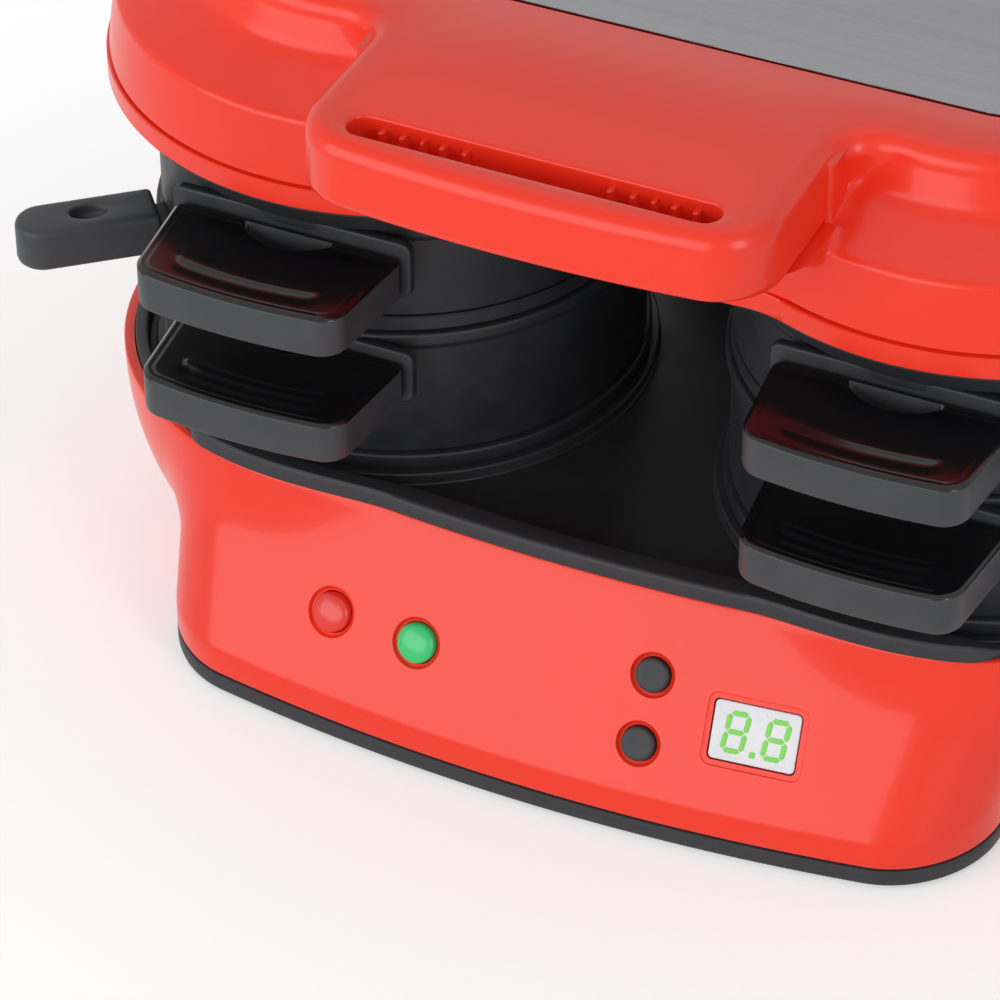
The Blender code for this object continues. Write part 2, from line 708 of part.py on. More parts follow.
def foot_places():
    """Places of the four feet, worked out from the cover's corners."""
    x = UNDERSIDE_HALF_WIDTH - FOOT_INSET
    front = CONSOLE_FOOT_FRONT + FOOT_INSET
    rear = BASE_REAR - FOOT_INSET
    return {"foot_front_left": (-x, front), "foot_front_right": (x, front),
            "foot_rear_left": (-x, rear), "foot_rear_right": (x, rear)}


def bottom_cover(finishes):
    """Black cover that closes the base, with a recess for each foot and holes for the screws."""
    cover = prism("bottom_cover", console_outline(0.0, 0.0, 0.0), COVER_BOTTOM, COVER_TOP)
    inner = console_outline(0.0, COVER_INSET, COVER_INSET)
    cut(cover, prism("inner", inner, COVER_BOTTOM + COVER_FLOOR, COVER_TOP + OVERRUN))
    for place in foot_places().values():
        cut(cover, cylinder("recess", place, FOOT_RADIUS + SEAT_GAP, COVER_BOTTOM - OVERRUN,
                            COVER_BOTTOM + FOOT_RECESS))
    for place in post_places():
        cut(cover, cylinder("hole", place, SCREW_RADIUS + SEAT_GAP, 0.0, COVER_TOP + OVERRUN))
    return finish(cover, "bottom_cover", finishes["black"])


def feet(finishes):
    """Rubber feet, seated in the cover."""
    made = []
    for name, place in foot_places().items():
        foot = cylinder(name, place, FOOT_RADIUS, 0.0, COVER_BOTTOM + FOOT_RECESS - SEAT_GAP, SMALL_STEPS)
        made.append(finish(foot, name, finishes["rubber"]))
    return made


def bottom_screws(finishes):
    """Screws that draw the cover to the tray's posts."""
    made = []
    head = COVER_BOTTOM - SEAT_GAP
    tip = COVER_BOTTOM + COVER_FLOOR + SCREW_LENGTH - SEAT_GAP
    for number, place in enumerate(post_places(), start=1):
        name = f"bottom_screw_{number}"
        profile = [(0.0, head - SCREW_HEAD_HEIGHT / 2), (SCREW_HEAD_RADIUS, head - SCREW_HEAD_HEIGHT / 2),
                   (SCREW_HEAD_RADIUS, head), (SCREW_RADIUS, head), (SCREW_RADIUS, tip), (0.0, tip)]
        made.append(finish(turned(name, profile, place, SMALL_STEPS), name, finishes["steel"]))
    return made


def lower_plate(name, x, finishes):
    """Lower heated plate: flat disc with a skirt through the tray."""
    low = LOWER_PLATE_BOTTOM
    deep = low - LOWER_SKIRT_DEPTH
    bore = LOWER_SKIRT_RADIUS - LOWER_SKIRT_WALL
    profile = [(0.0, low), (bore, low), (bore, deep), (LOWER_SKIRT_RADIUS, deep), (LOWER_SKIRT_RADIUS, low),
               (LOWER_PLATE_RADIUS, low), (LOWER_PLATE_RADIUS, LOWER_PLATE_TOP), (0.0, LOWER_PLATE_TOP)]
    return finish(turned(name, profile, (x, 0.0)), name, finishes["coating"])


def heating_element(name, x, level, finishes):
    """Tubular element: most of a circle with both ends turned towards the middle."""
    sides = 6
    rings = []
    steps = 22
    for step in range(steps + 1):
        angle = ELEMENT_GAP_ANGLE + (2 * math.pi - 2 * ELEMENT_GAP_ANGLE) * step / steps - math.pi / 2
        outward = Vector((math.cos(angle), math.sin(angle), 0.0))
        middle = Vector((x, 0.0, level)) + outward * ELEMENT_RADIUS
        ring = []
        for side in range(sides):
            turn = 2 * math.pi * side / sides
            offset = outward * math.cos(turn) + Vector((0.0, 0.0, math.sin(turn)))
            ring.append(tuple(middle + offset * ELEMENT_TUBE))
        rings.append(ring)
    return finish(loft(name, rings), name, finishes["steel"])


def thermostat(name, x, finishes):
    """Thermostat pressed to the underside of a lower plate."""
    top = LOWER_PLATE_BOTTOM - SEAT_GAP
    shoulder = top - THERMOSTAT_CAP_HEIGHT
    bottom = top - THERMOSTAT_HEIGHT
    profile = [(0.0, bottom), (THERMOSTAT_RADIUS, bottom), (THERMOSTAT_RADIUS, shoulder),
               (THERMOSTAT_CAP_RADIUS, shoulder), (THERMOSTAT_CAP_RADIUS, top), (0.0, top)]
    return finish(turned(name, profile, (x, 0.0), SMALL_STEPS), name, finishes["steel"])


def light(name, x, lens, finishes):
    """Domed light: lens, and stem down to the board."""
    rows = [(LIGHT_RADIUS * math.cos(turn), LIGHT_DOME * math.sin(turn))
            for turn in (math.pi / 2 * step / 5 for step in range(5))]
    foot = -LIGHT_DEPTH
    profile = [(0.0, foot), (LIGHT_STEM_RADIUS, foot), (LIGHT_STEM_RADIUS, -SHELL_WALL),
               (LIGHT_RADIUS, -SHELL_WALL)] + rows + [(0.0, LIGHT_DOME)]
    return finish(on_face(turned(name, profile, steps=SMALL_STEPS), x, CONTROL_Z), name, finishes[lens])


def push_button(name, z, finishes):
    """Round button: cap, flange under the housing wall and a stem towards the board."""
    under = -SHELL_WALL - SEAT_GAP * 2
    flange = BUTTON_RADIUS + BUTTON_FLANGE
    shoulder = BUTTON_RADIUS * math.cos(math.pi / 6)
    profile = [(0.0, -BUTTON_DEPTH), (BUTTON_STEM_RADIUS, -BUTTON_DEPTH),
               (BUTTON_STEM_RADIUS, under - BUTTON_FLANGE_HEIGHT), (flange, under - BUTTON_FLANGE_HEIGHT),
               (flange, under), (BUTTON_RADIUS, under), (BUTTON_RADIUS, BUTTON_PROUD / 2),
               (shoulder, BUTTON_PROUD), (0.0, BUTTON_PROUD)]
    button = finish(on_face(turned(name, profile, steps=SMALL_STEPS), BUTTON_X, z), name, finishes["black"])
    return set_origin(button, face_frame(BUTTON_X, z).translation)


def display_module(finishes):
    """Display: a glazed box in the window."""
    corner = (DISPLAY_HALF_WIDTH, DISPLAY_HALF_HEIGHT)
    body = box("display_module", (-corner[0], -corner[1], -DISPLAY_DEPTH),
               (corner[0], corner[1], -DISPLAY_RECESS))
    return finish(on_face(body, DISPLAY_X, CONTROL_Z), "display_module", finishes["white"])


def control_board(finishes):
    """Circuit board behind the slanted face, on its two posts."""
    board = box("control_board", (-BOARD_HALF_WIDTH, -BOARD_HALF_HEIGHT, -BOARD_DEPTH - BOARD_THICKNESS),
                (BOARD_HALF_WIDTH, BOARD_HALF_HEIGHT, -BOARD_DEPTH))
    return finish(on_face(board, BOARD_CENTRE_X, CONTROL_Z), "control_board", finishes["board"])


def cord_gland(finishes):
    """Grommet in the rear wall, where the cord would enter."""
    inner = -SHELL_WALL - SEAT_GAP
    profile = [(GLAND_BORE_RADIUS, inner - GLAND_FLANGE), (GLAND_FLANGE_RADIUS, inner - GLAND_FLANGE),
               (GLAND_FLANGE_RADIUS, inner), (GLAND_RADIUS, inner), (GLAND_RADIUS, 0.0),
               (GLAND_RADIUS, GLAND_FLANGE), (GLAND_BORE_RADIUS + RUN_GAP * 2, GLAND_NOSE),
               (GLAND_BORE_RADIUS, GLAND_NOSE)]
    gland = turned("cord_gland", profile, steps=SMALL_STEPS)
    gland.data.transform(Matrix.Rotation(-math.pi / 2, 4, "X"))
    gland.data.transform(Matrix.Translation((GLAND_X, BASE_REAR, GLAND_Z)))
    return finish(gland, "cord_gland", finishes["black"])


def set_origin(item, place):
    """Put a piece's origin at a place without moving the piece."""
    item.data.transform(Matrix.Translation(-Vector(place)))
    item.location = place
    return item


def rod_hole(left, right):
    """Cutter for the rod through a knuckle, post or column."""
    return cross_cylinder("rod_hole", left, right, ROD_RADIUS + RUN_GAP)


def hinge_column(finishes):
    """Hollow column between the pockets that carries the middle of the rod."""
    foot = TRAY_FLOOR_TOP + SEAT_GAP
    flare = TRAY_EDGE_TOP + SEAT_GAP
    profile = [(COLUMN_FRONT, foot), (COLUMN_FOOT_REAR, foot), (COLUMN_FOOT_REAR, flare),
               (COLUMN_REAR, flare + COLUMN_FLARE), (COLUMN_REAR, COLUMN_TOP - COLUMN_CORNER),
               (COLUMN_REAR - COLUMN_CORNER, COLUMN_TOP), (COLUMN_FRONT + COLUMN_CORNER, COLUMN_TOP),
               (COLUMN_FRONT, COLUMN_TOP - COLUMN_CORNER)]
    column = side_prism("hinge_column", profile, -COLUMN_HALF_WIDTH, COLUMN_HALF_WIDTH)
    half = COLUMN_HALF_WIDTH - COLUMN_WALL
    cut(column, box("hollow", (-half, COLUMN_FRONT + COLUMN_WALL, foot - OVERRUN),
                    (half, COLUMN_FOOT_REAR - COLUMN_WALL, COLUMN_HOLLOW_TOP)))
    cut(column, rod_hole(-COLUMN_HALF_WIDTH - OVERRUN, COLUMN_HALF_WIDTH + OVERRUN))
    return finish(column, "hinge_column", finishes["black"])


def hinge_post(name, side, finishes):
    """Outer post that carries one end of the rod."""
    foot = TRAY_FLOOR_TOP + SEAT_GAP
    edges = sorted((side * OUTER_POST_X, side * (OUTER_POST_X + POST_THICKNESS)))
    profile = [(POST_FOOT_FRONT, foot), (POST_FOOT_REAR, foot),
               (HINGE_Y + KNUCKLE_RADIUS, HINGE_Z), (HINGE_Y - KNUCKLE_RADIUS, HINGE_Z)]
    post = side_prism(name, profile, *edges)
    join(post, cross_cylinder("knuckle", edges[0], edges[1], KNUCKLE_RADIUS))
    cut(post, rod_hole(edges[0] - OVERRUN, edges[1] + OVERRUN))
    return finish(post, name, finishes["black"])


def hinge_rod(finishes):
    """Steel rod that the lid and the rings turn on."""
    rod = cross_cylinder("hinge_rod", -ROD_HALF_LENGTH, ROD_HALF_LENGTH, ROD_RADIUS)
    return finish(rod, "hinge_rod", finishes["steel"])


def arm(profile, centre, thickness):
    """One hinge arm: a plate in the YZ plane with a knuckle round the rod."""
    left = centre - thickness / 2
    right = centre + thickness / 2
    plate = side_prism("arm", profile, left, right)
    return join(plate, cross_cylinder("knuckle", left, right, KNUCKLE_RADIUS))


def ring_band(name, x, bottom, height):
    """Plain ring with a lip at the top."""
    top = bottom + height
    profile = [(RING_INNER_RADIUS, bottom), (RING_RADIUS, bottom), (RING_RADIUS, top - RING_LIP_HEIGHT),
               (RING_RADIUS + RING_LIP, top - RING_LIP_HEIGHT + RING_LIP), (RING_RADIUS + RING_LIP, top),
               (RING_INNER_RADIUS, top)]
    return turned(name, profile, (x, 0.0))


def bracket(x, handle_top, ring_top):
    """Plate on the front of a ring that the handle is fixed to."""
    bottom = handle_top - HANDLE_THICKNESS - BRACKET_BELOW_HANDLE
    rear = -math.sqrt(RING_INNER_RADIUS ** 2 - BRACKET_HALF_WIDTH ** 2) - RING_WALL / 2
    plate = prism("bracket", rounded_rectangle((x - BRACKET_HALF_WIDTH, BRACKET_FRONT),
                                               (x + BRACKET_HALF_WIDTH, rear), BRACKET_CHAMFER),
                  bottom, ring_top - BRACKET_TOP_DROP)
    core = cylinder("core", (x, 0.0), RING_INNER_RADIUS + RING_WALL / 2, bottom - OVERRUN,
                    ring_top + OVERRUN, ROUND_STEPS)
    return cut(plate, core)


def ring_with_arms(name, x, bottom, height, handle_top, profile, offset, finishes):
    """Ring with its handle bracket at the front and two hinge arms at the back."""
    ring = ring_band(name, x, bottom, height)
    join(ring, bracket(x, handle_top, bottom + height))
    for _, side in SIDES:
        centre = x + side * (offset + ARM_THICKNESS / 2)
        join(ring, arm(profile, centre, ARM_THICKNESS))
    cut(ring, rod_hole(x - RING_RADIUS, x + RING_RADIUS))
    return set_origin(finish(ring, name, finishes["coating"]), (x, HINGE_Y, HINGE_Z))


def arm_start(offset):
    """Depth at which an arm starts inside a ring's wall."""
    return math.sqrt((RING_INNER_RADIUS + RING_WALL / 2) ** 2 - offset ** 2)


def bottom_ring(name, x, finishes):
    """Bottom ring of a pocket; its arms climb behind the plate and the ring above."""
    offset = TOP_ARM_OFFSET + ARM_SPACING
    start = arm_start(offset + ARM_THICKNESS)
    profile = [(start, BOTTOM_ARM_LOW), (start, BOTTOM_ARM_HIGH), (BOTTOM_ARM_CLEAR_Y, BOTTOM_ARM_HIGH),
               (HINGE_Y - KNUCKLE_RADIUS, HINGE_Z), (HINGE_Y + KNUCKLE_RADIUS, HINGE_Z),
               (BOTTOM_ARM_ELBOW_Y, BOTTOM_ARM_ELBOW_Z), (BOTTOM_ARM_CLEAR_Y, BOTTOM_ARM_LOW)]
    return ring_with_arms(name, x, BOTTOM_RING_BOTTOM, BOTTOM_RING_HEIGHT, LOWER_HANDLE_TOP, profile,
                          offset, finishes)


def pivot_place(side):
    """Place of a swinging plate's pivot, seen from above."""
    turn = math.radians(EGG_PIVOT_ANGLE)
    return (pocket_x(side) - side * EGG_PIVOT_DISTANCE * math.cos(turn), EGG_PIVOT_DISTANCE * math.sin(turn))


def top_ring(name, side, finishes):
    """Top ring of a pocket, with the boss for the swinging plate's pin."""
    x = pocket_x(side)
    start = arm_start(TOP_ARM_OFFSET + ARM_THICKNESS)
    profile = [(start, TOP_ARM_LOW), (start, HINGE_Z + KNUCKLE_RADIUS), (HINGE_Y, HINGE_Z + KNUCKLE_RADIUS),
               (HINGE_Y, HINGE_Z - KNUCKLE_RADIUS)]
    ring = ring_with_arms(name, x, TOP_RING_BOTTOM, TOP_RING_HEIGHT, UPPER_HANDLE_TOP, profile,
                          TOP_ARM_OFFSET, finishes)
    place = pivot_place(side)
    outward = Vector((place[0] - x, place[1], 0.0)).normalized()
    across = Vector((-outward.y, outward.x, 0.0)) * EGG_EAR_RADIUS
    inner = Vector((x, 0.0, 0.0)) + outward * (RING_INNER_RADIUS + RING_WALL / 2)
    outer = Vector((place[0], place[1], 0.0))
    web = [tuple((corner + shift).xy) for corner, shift in
           ((inner, -across), (outer, -across), (outer, across), (inner, across))]
    top = TOP_RING_BOTTOM + EGG_BOSS_HEIGHT
    boss = join(prism("web", web, TOP_RING_BOTTOM, top),
                cylinder("boss", place, EGG_EAR_RADIUS, TOP_RING_BOTTOM, top))
    cut(boss, cylinder("bore", place, EGG_PIN_RADIUS + SEAT_GAP, TOP_RING_BOTTOM - OVERRUN,
                       top - EGG_PIN_HEAD))
    boss.data.transform(Matrix.Translation(-ring.location))
    boss.location = ring.location
    return finish(join(ring, boss), name, finishes["coating"])


def ring_handle(name, x, top, finishes):
    """Handle of a ring: bowed front, chamfered edges and a shallow dish on top."""
    def outline(inset):
        """Handle outline moved inwards by inset."""
        points = bowed_outline(HANDLE_HALF_WIDTH - inset, HANDLE_FRONT + inset, HANDLE_BOW,
                               HANDLE_CORNER - inset, BRACKET_FRONT - SEAT_GAP - inset, HANDLE_CORNER - inset)
        return [(x + point[0], point[1]) for point in points]
    bottom = top - HANDLE_THICKNESS
    levels = [(HANDLE_CHAMFER, bottom), (0.0, bottom + HANDLE_CHAMFER), (0.0, top - HANDLE_CHAMFER),
              (HANDLE_CHAMFER, top)]
    handle = loft(name, [at_height(outline(inset), z) for inset, z in levels])
    cut(handle, loft("dish", [at_height(outline(HANDLE_DISH_INSET + HANDLE_DISH_DEPTH), top - HANDLE_DISH_DEPTH),
                              at_height(outline(HANDLE_DISH_INSET), top),
                              at_height(outline(HANDLE_DISH_INSET), top + OVERRUN)]))
    return set_origin(finish(handle, name, finishes["black"]), (x, HINGE_Y, HINGE_Z))


def radial_outline(side, angle, start, end, half_width, rounded):
    """Outline of a bar that points away from a pocket's middle."""
    turn = math.radians(angle)
    points = [(start, -half_width)]
    if rounded:
        points += arc((end - half_width, 0.0), half_width, -math.pi / 2, math.pi / 2, SMALL_STEPS // 2)
    else:
        points += [(end, -half_width), (end, half_width)]
    points.append((start, half_width))
    placed = []
    for along, across in points:
        x = along * math.cos(turn) - across * math.sin(turn)
        y = along * math.sin(turn) + across * math.cos(turn)
        placed.append((pocket_x(side) - side * x, y))
    return placed


def egg_plate(name, side, finishes):
    """Swinging plate between the rings, with its pivot ear and the tang for its handle."""
    x = pocket_x(side)
    dish = EGG_PLATE_TOP - EGG_DISH_DEPTH
    profile = [(0.0, EGG_PLATE_BOTTOM), (EGG_PLATE_RADIUS, EGG_PLATE_BOTTOM), (EGG_PLATE_RADIUS, EGG_PLATE_TOP),
               (EGG_DISH_RADIUS, EGG_PLATE_TOP), (EGG_DISH_RADIUS - EGG_DISH_DEPTH, dish), (0.0, dish)]
    plate = turned(name, profile, (x, 0.0))
    place = pivot_place(side)
    root = radial_outline(side, EGG_PIVOT_ANGLE, EGG_DISH_RADIUS, EGG_PIVOT_DISTANCE, EGG_EAR_RADIUS, False)
    tang = radial_outline(side, EGG_HANDLE_ANGLE, EGG_DISH_RADIUS, EGG_TANG_END, EGG_TANG_HALF_WIDTH, False)
    join(plate, prism("root", root, EGG_PLATE_BOTTOM, EGG_PLATE_TOP),
         cylinder("ear", place, EGG_EAR_RADIUS, EGG_PLATE_BOTTOM, EGG_PLATE_TOP),
         prism("tang", tang, EGG_PLATE_BOTTOM, EGG_PLATE_TOP))
    cut(plate, cylinder("bore", place, EGG_PIN_RADIUS + RUN_GAP, EGG_PLATE_BOTTOM - OVERRUN,
                        EGG_PLATE_TOP + OVERRUN))
    return set_origin(finish(plate, name, finishes["coating"]), (*place, EGG_PLATE_BOTTOM))


def egg_handle(name, side, finishes):
    """Handle of a swinging plate: a round-ended bar with a finger dimple, slotted onto the tang."""
    middle = (EGG_PLATE_BOTTOM + EGG_PLATE_TOP) / 2
    low = middle - EGG_HANDLE_THICKNESS / 2
    high = middle + EGG_HANDLE_THICKNESS / 2
    levels = []
    for inset, z in ((EGG_HANDLE_CHAMFER, low), (0.0, low + EGG_HANDLE_CHAMFER),
                     (0.0, high - EGG_HANDLE_CHAMFER), (EGG_HANDLE_CHAMFER, high)):
        outline = radial_outline(side, EGG_HANDLE_ANGLE, EGG_HANDLE_START + inset, EGG_HANDLE_END - inset,
                                 EGG_HANDLE_HALF_WIDTH - inset, True)
        levels.append(at_height(outline, z))
    handle = loft(name, levels)
    slot = radial_outline(side, EGG_HANDLE_ANGLE, EGG_HANDLE_START - OVERRUN, EGG_TANG_END + SEAT_GAP,
                          EGG_TANG_HALF_WIDTH + SEAT_GAP, False)
    cut(handle, prism("slot", slot, EGG_PLATE_BOTTOM - SEAT_GAP, EGG_PLATE_TOP + SEAT_GAP))
    turn = math.radians(EGG_HANDLE_ANGLE)
    centre = (pocket_x(side) - side * EGG_DIMPLE_CENTRE * math.cos(turn), EGG_DIMPLE_CENTRE * math.sin(turn))
    dimple = turned("dimple", [(0.0, high - EGG_DIMPLE_DEPTH), (EGG_DIMPLE_HALF_WIDTH / 2, high - EGG_DIMPLE_DEPTH),
                               (EGG_DIMPLE_HALF_WIDTH, high), (EGG_DIMPLE_HALF_WIDTH, high + OVERRUN),
                               (0.0, high + OVERRUN)], centre, SMALL_STEPS)
    cut(handle, dimple)
    place = pivot_place(side)
    return set_origin(finish(handle, name, finishes["black"]), (*place, EGG_PLATE_BOTTOM))


def egg_pin(name, side, finishes):
    """Pin that a swinging plate turns on, headed below the plate."""
    place = pivot_place(side)
    head = EGG_PLATE_BOTTOM - SEAT_GAP
    tip = TOP_RING_BOTTOM + EGG_BOSS_HEIGHT - EGG_PIN_HEAD - SEAT_GAP
    profile = [(0.0, head - EGG_PIN_HEAD), (EGG_PIN_HEAD_RADIUS, head - EGG_PIN_HEAD),
               (EGG_PIN_HEAD_RADIUS, head), (EGG_PIN_RADIUS, head), (EGG_PIN_RADIUS, tip), (0.0, tip)]
    pin = finish(turned(name, profile, place, SMALL_STEPS), name, finishes["steel"])
    return set_origin(pin, (pocket_x(side), HINGE_Y, HINGE_Z))


def lobe_profile(inset, bottom):
    """Half section of one lid lobe, moved inwards by inset."""
    step = LID_BOTTOM + LID_FLANGE_HEIGHT
    rounded = LID_DOME_RADIUS - LID_EDGE_ROUND
    rows = [(LID_FLANGE_RADIUS, step), (LID_WALL_RADIUS, step), (LID_CREASE_RADIUS, LID_CREASE_Z),
            (LID_SHOULDER_RADIUS, LID_SHOULDER_Z), (LID_DOME_RADIUS, LID_DOME_Z)]
    if inset == 0.0:
        rows += [(rounded + LID_EDGE_ROUND * 0.7, (LID_DOME_Z + 2 * LID_TOP) / 3)]
    rows = [(radius - inset, height - (inset if height > step else 0.0)) for radius, height in rows]
    return ([(0.0, bottom), (LID_FLANGE_RADIUS - inset, bottom)] + rows
            + [(rounded - inset, LID_TOP - inset), (0.0, LID_TOP - inset)])


def neck_outline(inset, front):
    """Straight-fronted outline of the lid between the lobes."""
    return rounded_rectangle((inset - LID_NECK_HALF_WIDTH, front + inset),
                             (LID_NECK_HALF_WIDTH - inset, LID_REAR - inset), LID_REAR_CORNER - inset)


def lid_neck(name, inset, bottom):
    """Solid of the lid between the lobes; its sides draft outwards on the way down."""
    levels = [at_height(neck_outline(inset - LID_NECK_DRAFT, COVE_FOOT_Y - LID_NECK_DRAFT), bottom),
              at_height(neck_outline(inset, COVE_FOOT_Y), LID_DOME_Z - inset)]
    levels.append(at_height(neck_outline(inset + LID_EDGE_ROUND / 2, COVE_FOOT_Y), LID_TOP - inset))
    return loft(name, levels)


def lid_tongue():
    """Handle at the front of the lid, with the cove that carries it."""
    def outline(inset):
        """Tongue outline moved inwards by inset."""
        return bowed_outline(TONGUE_HALF_WIDTH - inset, TONGUE_FRONT + inset, TONGUE_BOW,
                             TONGUE_CORNER - inset, PANEL_FRONT, HANDLE_CORNER - inset)
    round_step = LID_EDGE_ROUND / 2
    levels = [(round_step / 2, TONGUE_BOTTOM), (0.0, TONGUE_BOTTOM + round_step), (0.0, LID_DOME_Z),
              (round_step / 2, (LID_DOME_Z + LID_TOP * 2) / 3), (round_step * 2, LID_TOP)]
    tongue = loft("tongue", [at_height(outline(inset), z) for inset, z in levels])
    foot = LID_BOTTOM + LID_FLANGE_HEIGHT
    rise = TONGUE_BOTTOM + round_step - foot
    cove = [(COVE_FOOT_Y - LID_NECK_DRAFT - COVE_REACH * (1 - math.cos(turn)), foot + rise * math.sin(turn))
            for turn in (math.pi / 2 * step / BOW_STEPS * 2 for step in range(BOW_STEPS // 2 + 1))]
    inner = COVE_FOOT_Y + LID_WALL / 2
    cove += [(inner, foot + rise), (inner, foot)]
    half = TONGUE_HALF_WIDTH - TONGUE_CORNER / 4
    return join(tongue, side_prism("cove", cove, -half, half))


def handle_slot():
    """Cutter for the blind slot in the lid's handle, less the ribs near both of its ends."""
    bottom = TONGUE_BOTTOM + LID_WALL * 2
    slot = prism("slot", rounded_rectangle((-SLOT_HALF_LENGTH, SLOT_Y - SLOT_HALF_WIDTH),
                                           (SLOT_HALF_LENGTH, SLOT_Y + SLOT_HALF_WIDTH), SLOT_HALF_WIDTH / 2),
                 bottom, LID_TOP + OVERRUN)
    for _, side in SIDES:
        for number in range(SLOT_RIB_COUNT):
            x = side * (SLOT_HALF_LENGTH - SLOT_RIB_PITCH * (number + 1))
            rib = box("rib", (x - SLOT_RIB_WIDTH / 2, SLOT_Y, bottom - OVERRUN),
                      (x + SLOT_RIB_WIDTH / 2, SLOT_Y + SLOT_HALF_WIDTH * 2, LID_DOME_Z - SLOT_RIB_WIDTH))
            cut(slot, rib)
    return slot


def panel_outline(inset):
    """Outline of the steel panel on the lid."""
    return rounded_rectangle((inset - PANEL_HALF_WIDTH, PANEL_FRONT + inset),
                             (PANEL_HALF_WIDTH - inset, PANEL_REAR - inset), PANEL_CORNER - inset)


def lid_arm_profile(start):
    """Side view of a lid arm, from the lid's rear wall down to the rod."""
    return [(start, LID_ARM_LOW), (start, LID_ARM_HIGH), (LID_ARM_KNEE_Y, LID_ARM_KNEE_Z),
            (HINGE_Y + KNUCKLE_RADIUS, HINGE_Z), (HINGE_Y - KNUCKLE_RADIUS, HINGE_Z),
            (LID_ARM_KNEE_Y - KNUCKLE_RADIUS, LID_ARM_LOW)]


def lid_shell(finishes):
    """Red lid moulding: two stepped lobes, a raised neck, the handle and four hinge arms."""
    shell = lid_neck("lid_shell", 0.0, LID_BOTTOM)
    for _, side in SIDES:
        join(shell, turned("lobe", lobe_profile(0.0, LID_BOTTOM), (pocket_x(side), 0.0)))
    join(shell, lid_tongue())
    hollow = lid_neck("hollow", LID_WALL, LID_BOTTOM - OVERRUN)
    for _, side in SIDES:
        lobe = lobe_profile(LID_WALL, LID_BOTTOM - OVERRUN)
        join(hollow, turned("lobe", lobe, (pocket_x(side), 0.0)))
    cut(shell, hollow, handle_slot())
    cut(shell, prism("recess", panel_outline(0.0), LID_TOP - PANEL_RECESS, LID_TOP + OVERRUN))
    for _, side in SIDES:
        inner = side * (LID_INNER_ARM_X + LID_ARM_THICKNESS / 2)
        outer = side * (LID_OUTER_ARM_X + LID_ARM_THICKNESS / 2)
        join(shell, arm(lid_arm_profile(LID_ARM_START_Y), inner, LID_ARM_THICKNESS))
        join(shell, arm(lid_arm_profile(LID_OUTER_ARM_START_Y), outer, LID_ARM_THICKNESS))
    cut(shell, rod_hole(-ROD_HALF_LENGTH, ROD_HALF_LENGTH))
    return set_origin(finish(shell, "lid_shell", finishes["red"]), (0.0, HINGE_Y, HINGE_Z))


def steel_panel(finishes):
    """Brushed steel panel in the lid's recess."""
    bottom = LID_TOP - PANEL_RECESS + SEAT_GAP
    panel = prism("steel_panel", panel_outline(PANEL_GAP), bottom, bottom + PANEL_THICKNESS)
    return set_origin(finish(panel, "steel_panel", finishes["steel"]), (0.0, HINGE_Y, HINGE_Z))


def lid_liner(finishes):
    """Black liner under the lid: a cone round each upper plate and a bridge between them."""
    low = (-LID_NECK_HALF_WIDTH, LINER_FRONT)
    high = (LID_NECK_HALF_WIDTH, LINER_REAR)
    liner = prism("lid_liner", rounded_rectangle(low, high, LID_REAR_CORNER), LINER_LEDGE, LINER_TOP)
    wall = LINER_RIM_WALL
    inner = rounded_rectangle((low[0] + wall, low[1] + wall), (high[0] - wall, high[1] - wall),
                              LID_REAR_CORNER - wall)
    cut(liner, prism("bridge", inner, LINER_LEDGE + LINER_BRIDGE_THICKNESS, LINER_TOP + OVERRUN))
    rim = LID_FLANGE_RADIUS - SEAT_GAP * 2
    shelf = LINER_BOTTOM + wall
    slope = (rim - LINER_FOOT_RADIUS) / (LINER_TOP - LINER_BOTTOM)
    for _, side in SIDES:
        place = (pocket_x(side), 0.0)
        join(liner, turned("cone", [(0.0, LINER_BOTTOM), (LINER_FOOT_RADIUS, LINER_BOTTOM), (rim, LINER_TOP),
                                    (0.0, LINER_TOP)], place))
    for _, side in SIDES:
        place = (pocket_x(side), 0.0)
        well = [(0.0, shelf), (LINER_FOOT_RADIUS - wall + wall * slope, shelf), (rim - wall, LINER_TOP),
                (rim - wall, LINER_TOP + OVERRUN), (0.0, LINER_TOP + OVERRUN)]
        cut(liner, turned("well", well, place))
        cut(liner, cylinder("hole", place, LINER_HOLE_RADIUS, LINER_BOTTOM - OVERRUN, LINER_TOP, ROUND_STEPS))
    return set_origin(finish(liner, "lid_liner", finishes["black"]), (0.0, HINGE_Y, HINGE_Z))


def upper_plate(name, x, finishes):
    """Upper heated plate: a cup through the liner, hung on its flange."""
    seat = LINER_BOTTOM + LINER_RIM_WALL + SEAT_GAP
    floor = UPPER_PLATE_BOTTOM + UPPER_PLATE_THICKNESS
    bore = UPPER_PLATE_RADIUS - UPPER_PLATE_WALL
    profile = [(0.0, UPPER_PLATE_BOTTOM), (UPPER_PLATE_RADIUS, UPPER_PLATE_BOTTOM), (UPPER_PLATE_RADIUS, seat),
               (UPPER_FLANGE_RADIUS, seat), (UPPER_FLANGE_RADIUS, seat + UPPER_FLANGE),
               (bore, seat + UPPER_FLANGE), (bore, floor), (0.0, floor)]
    plate = finish(turned(name, profile, (x, 0.0)), name, finishes["coating"])
    return set_origin(plate, (0.0, HINGE_Y, HINGE_Z))


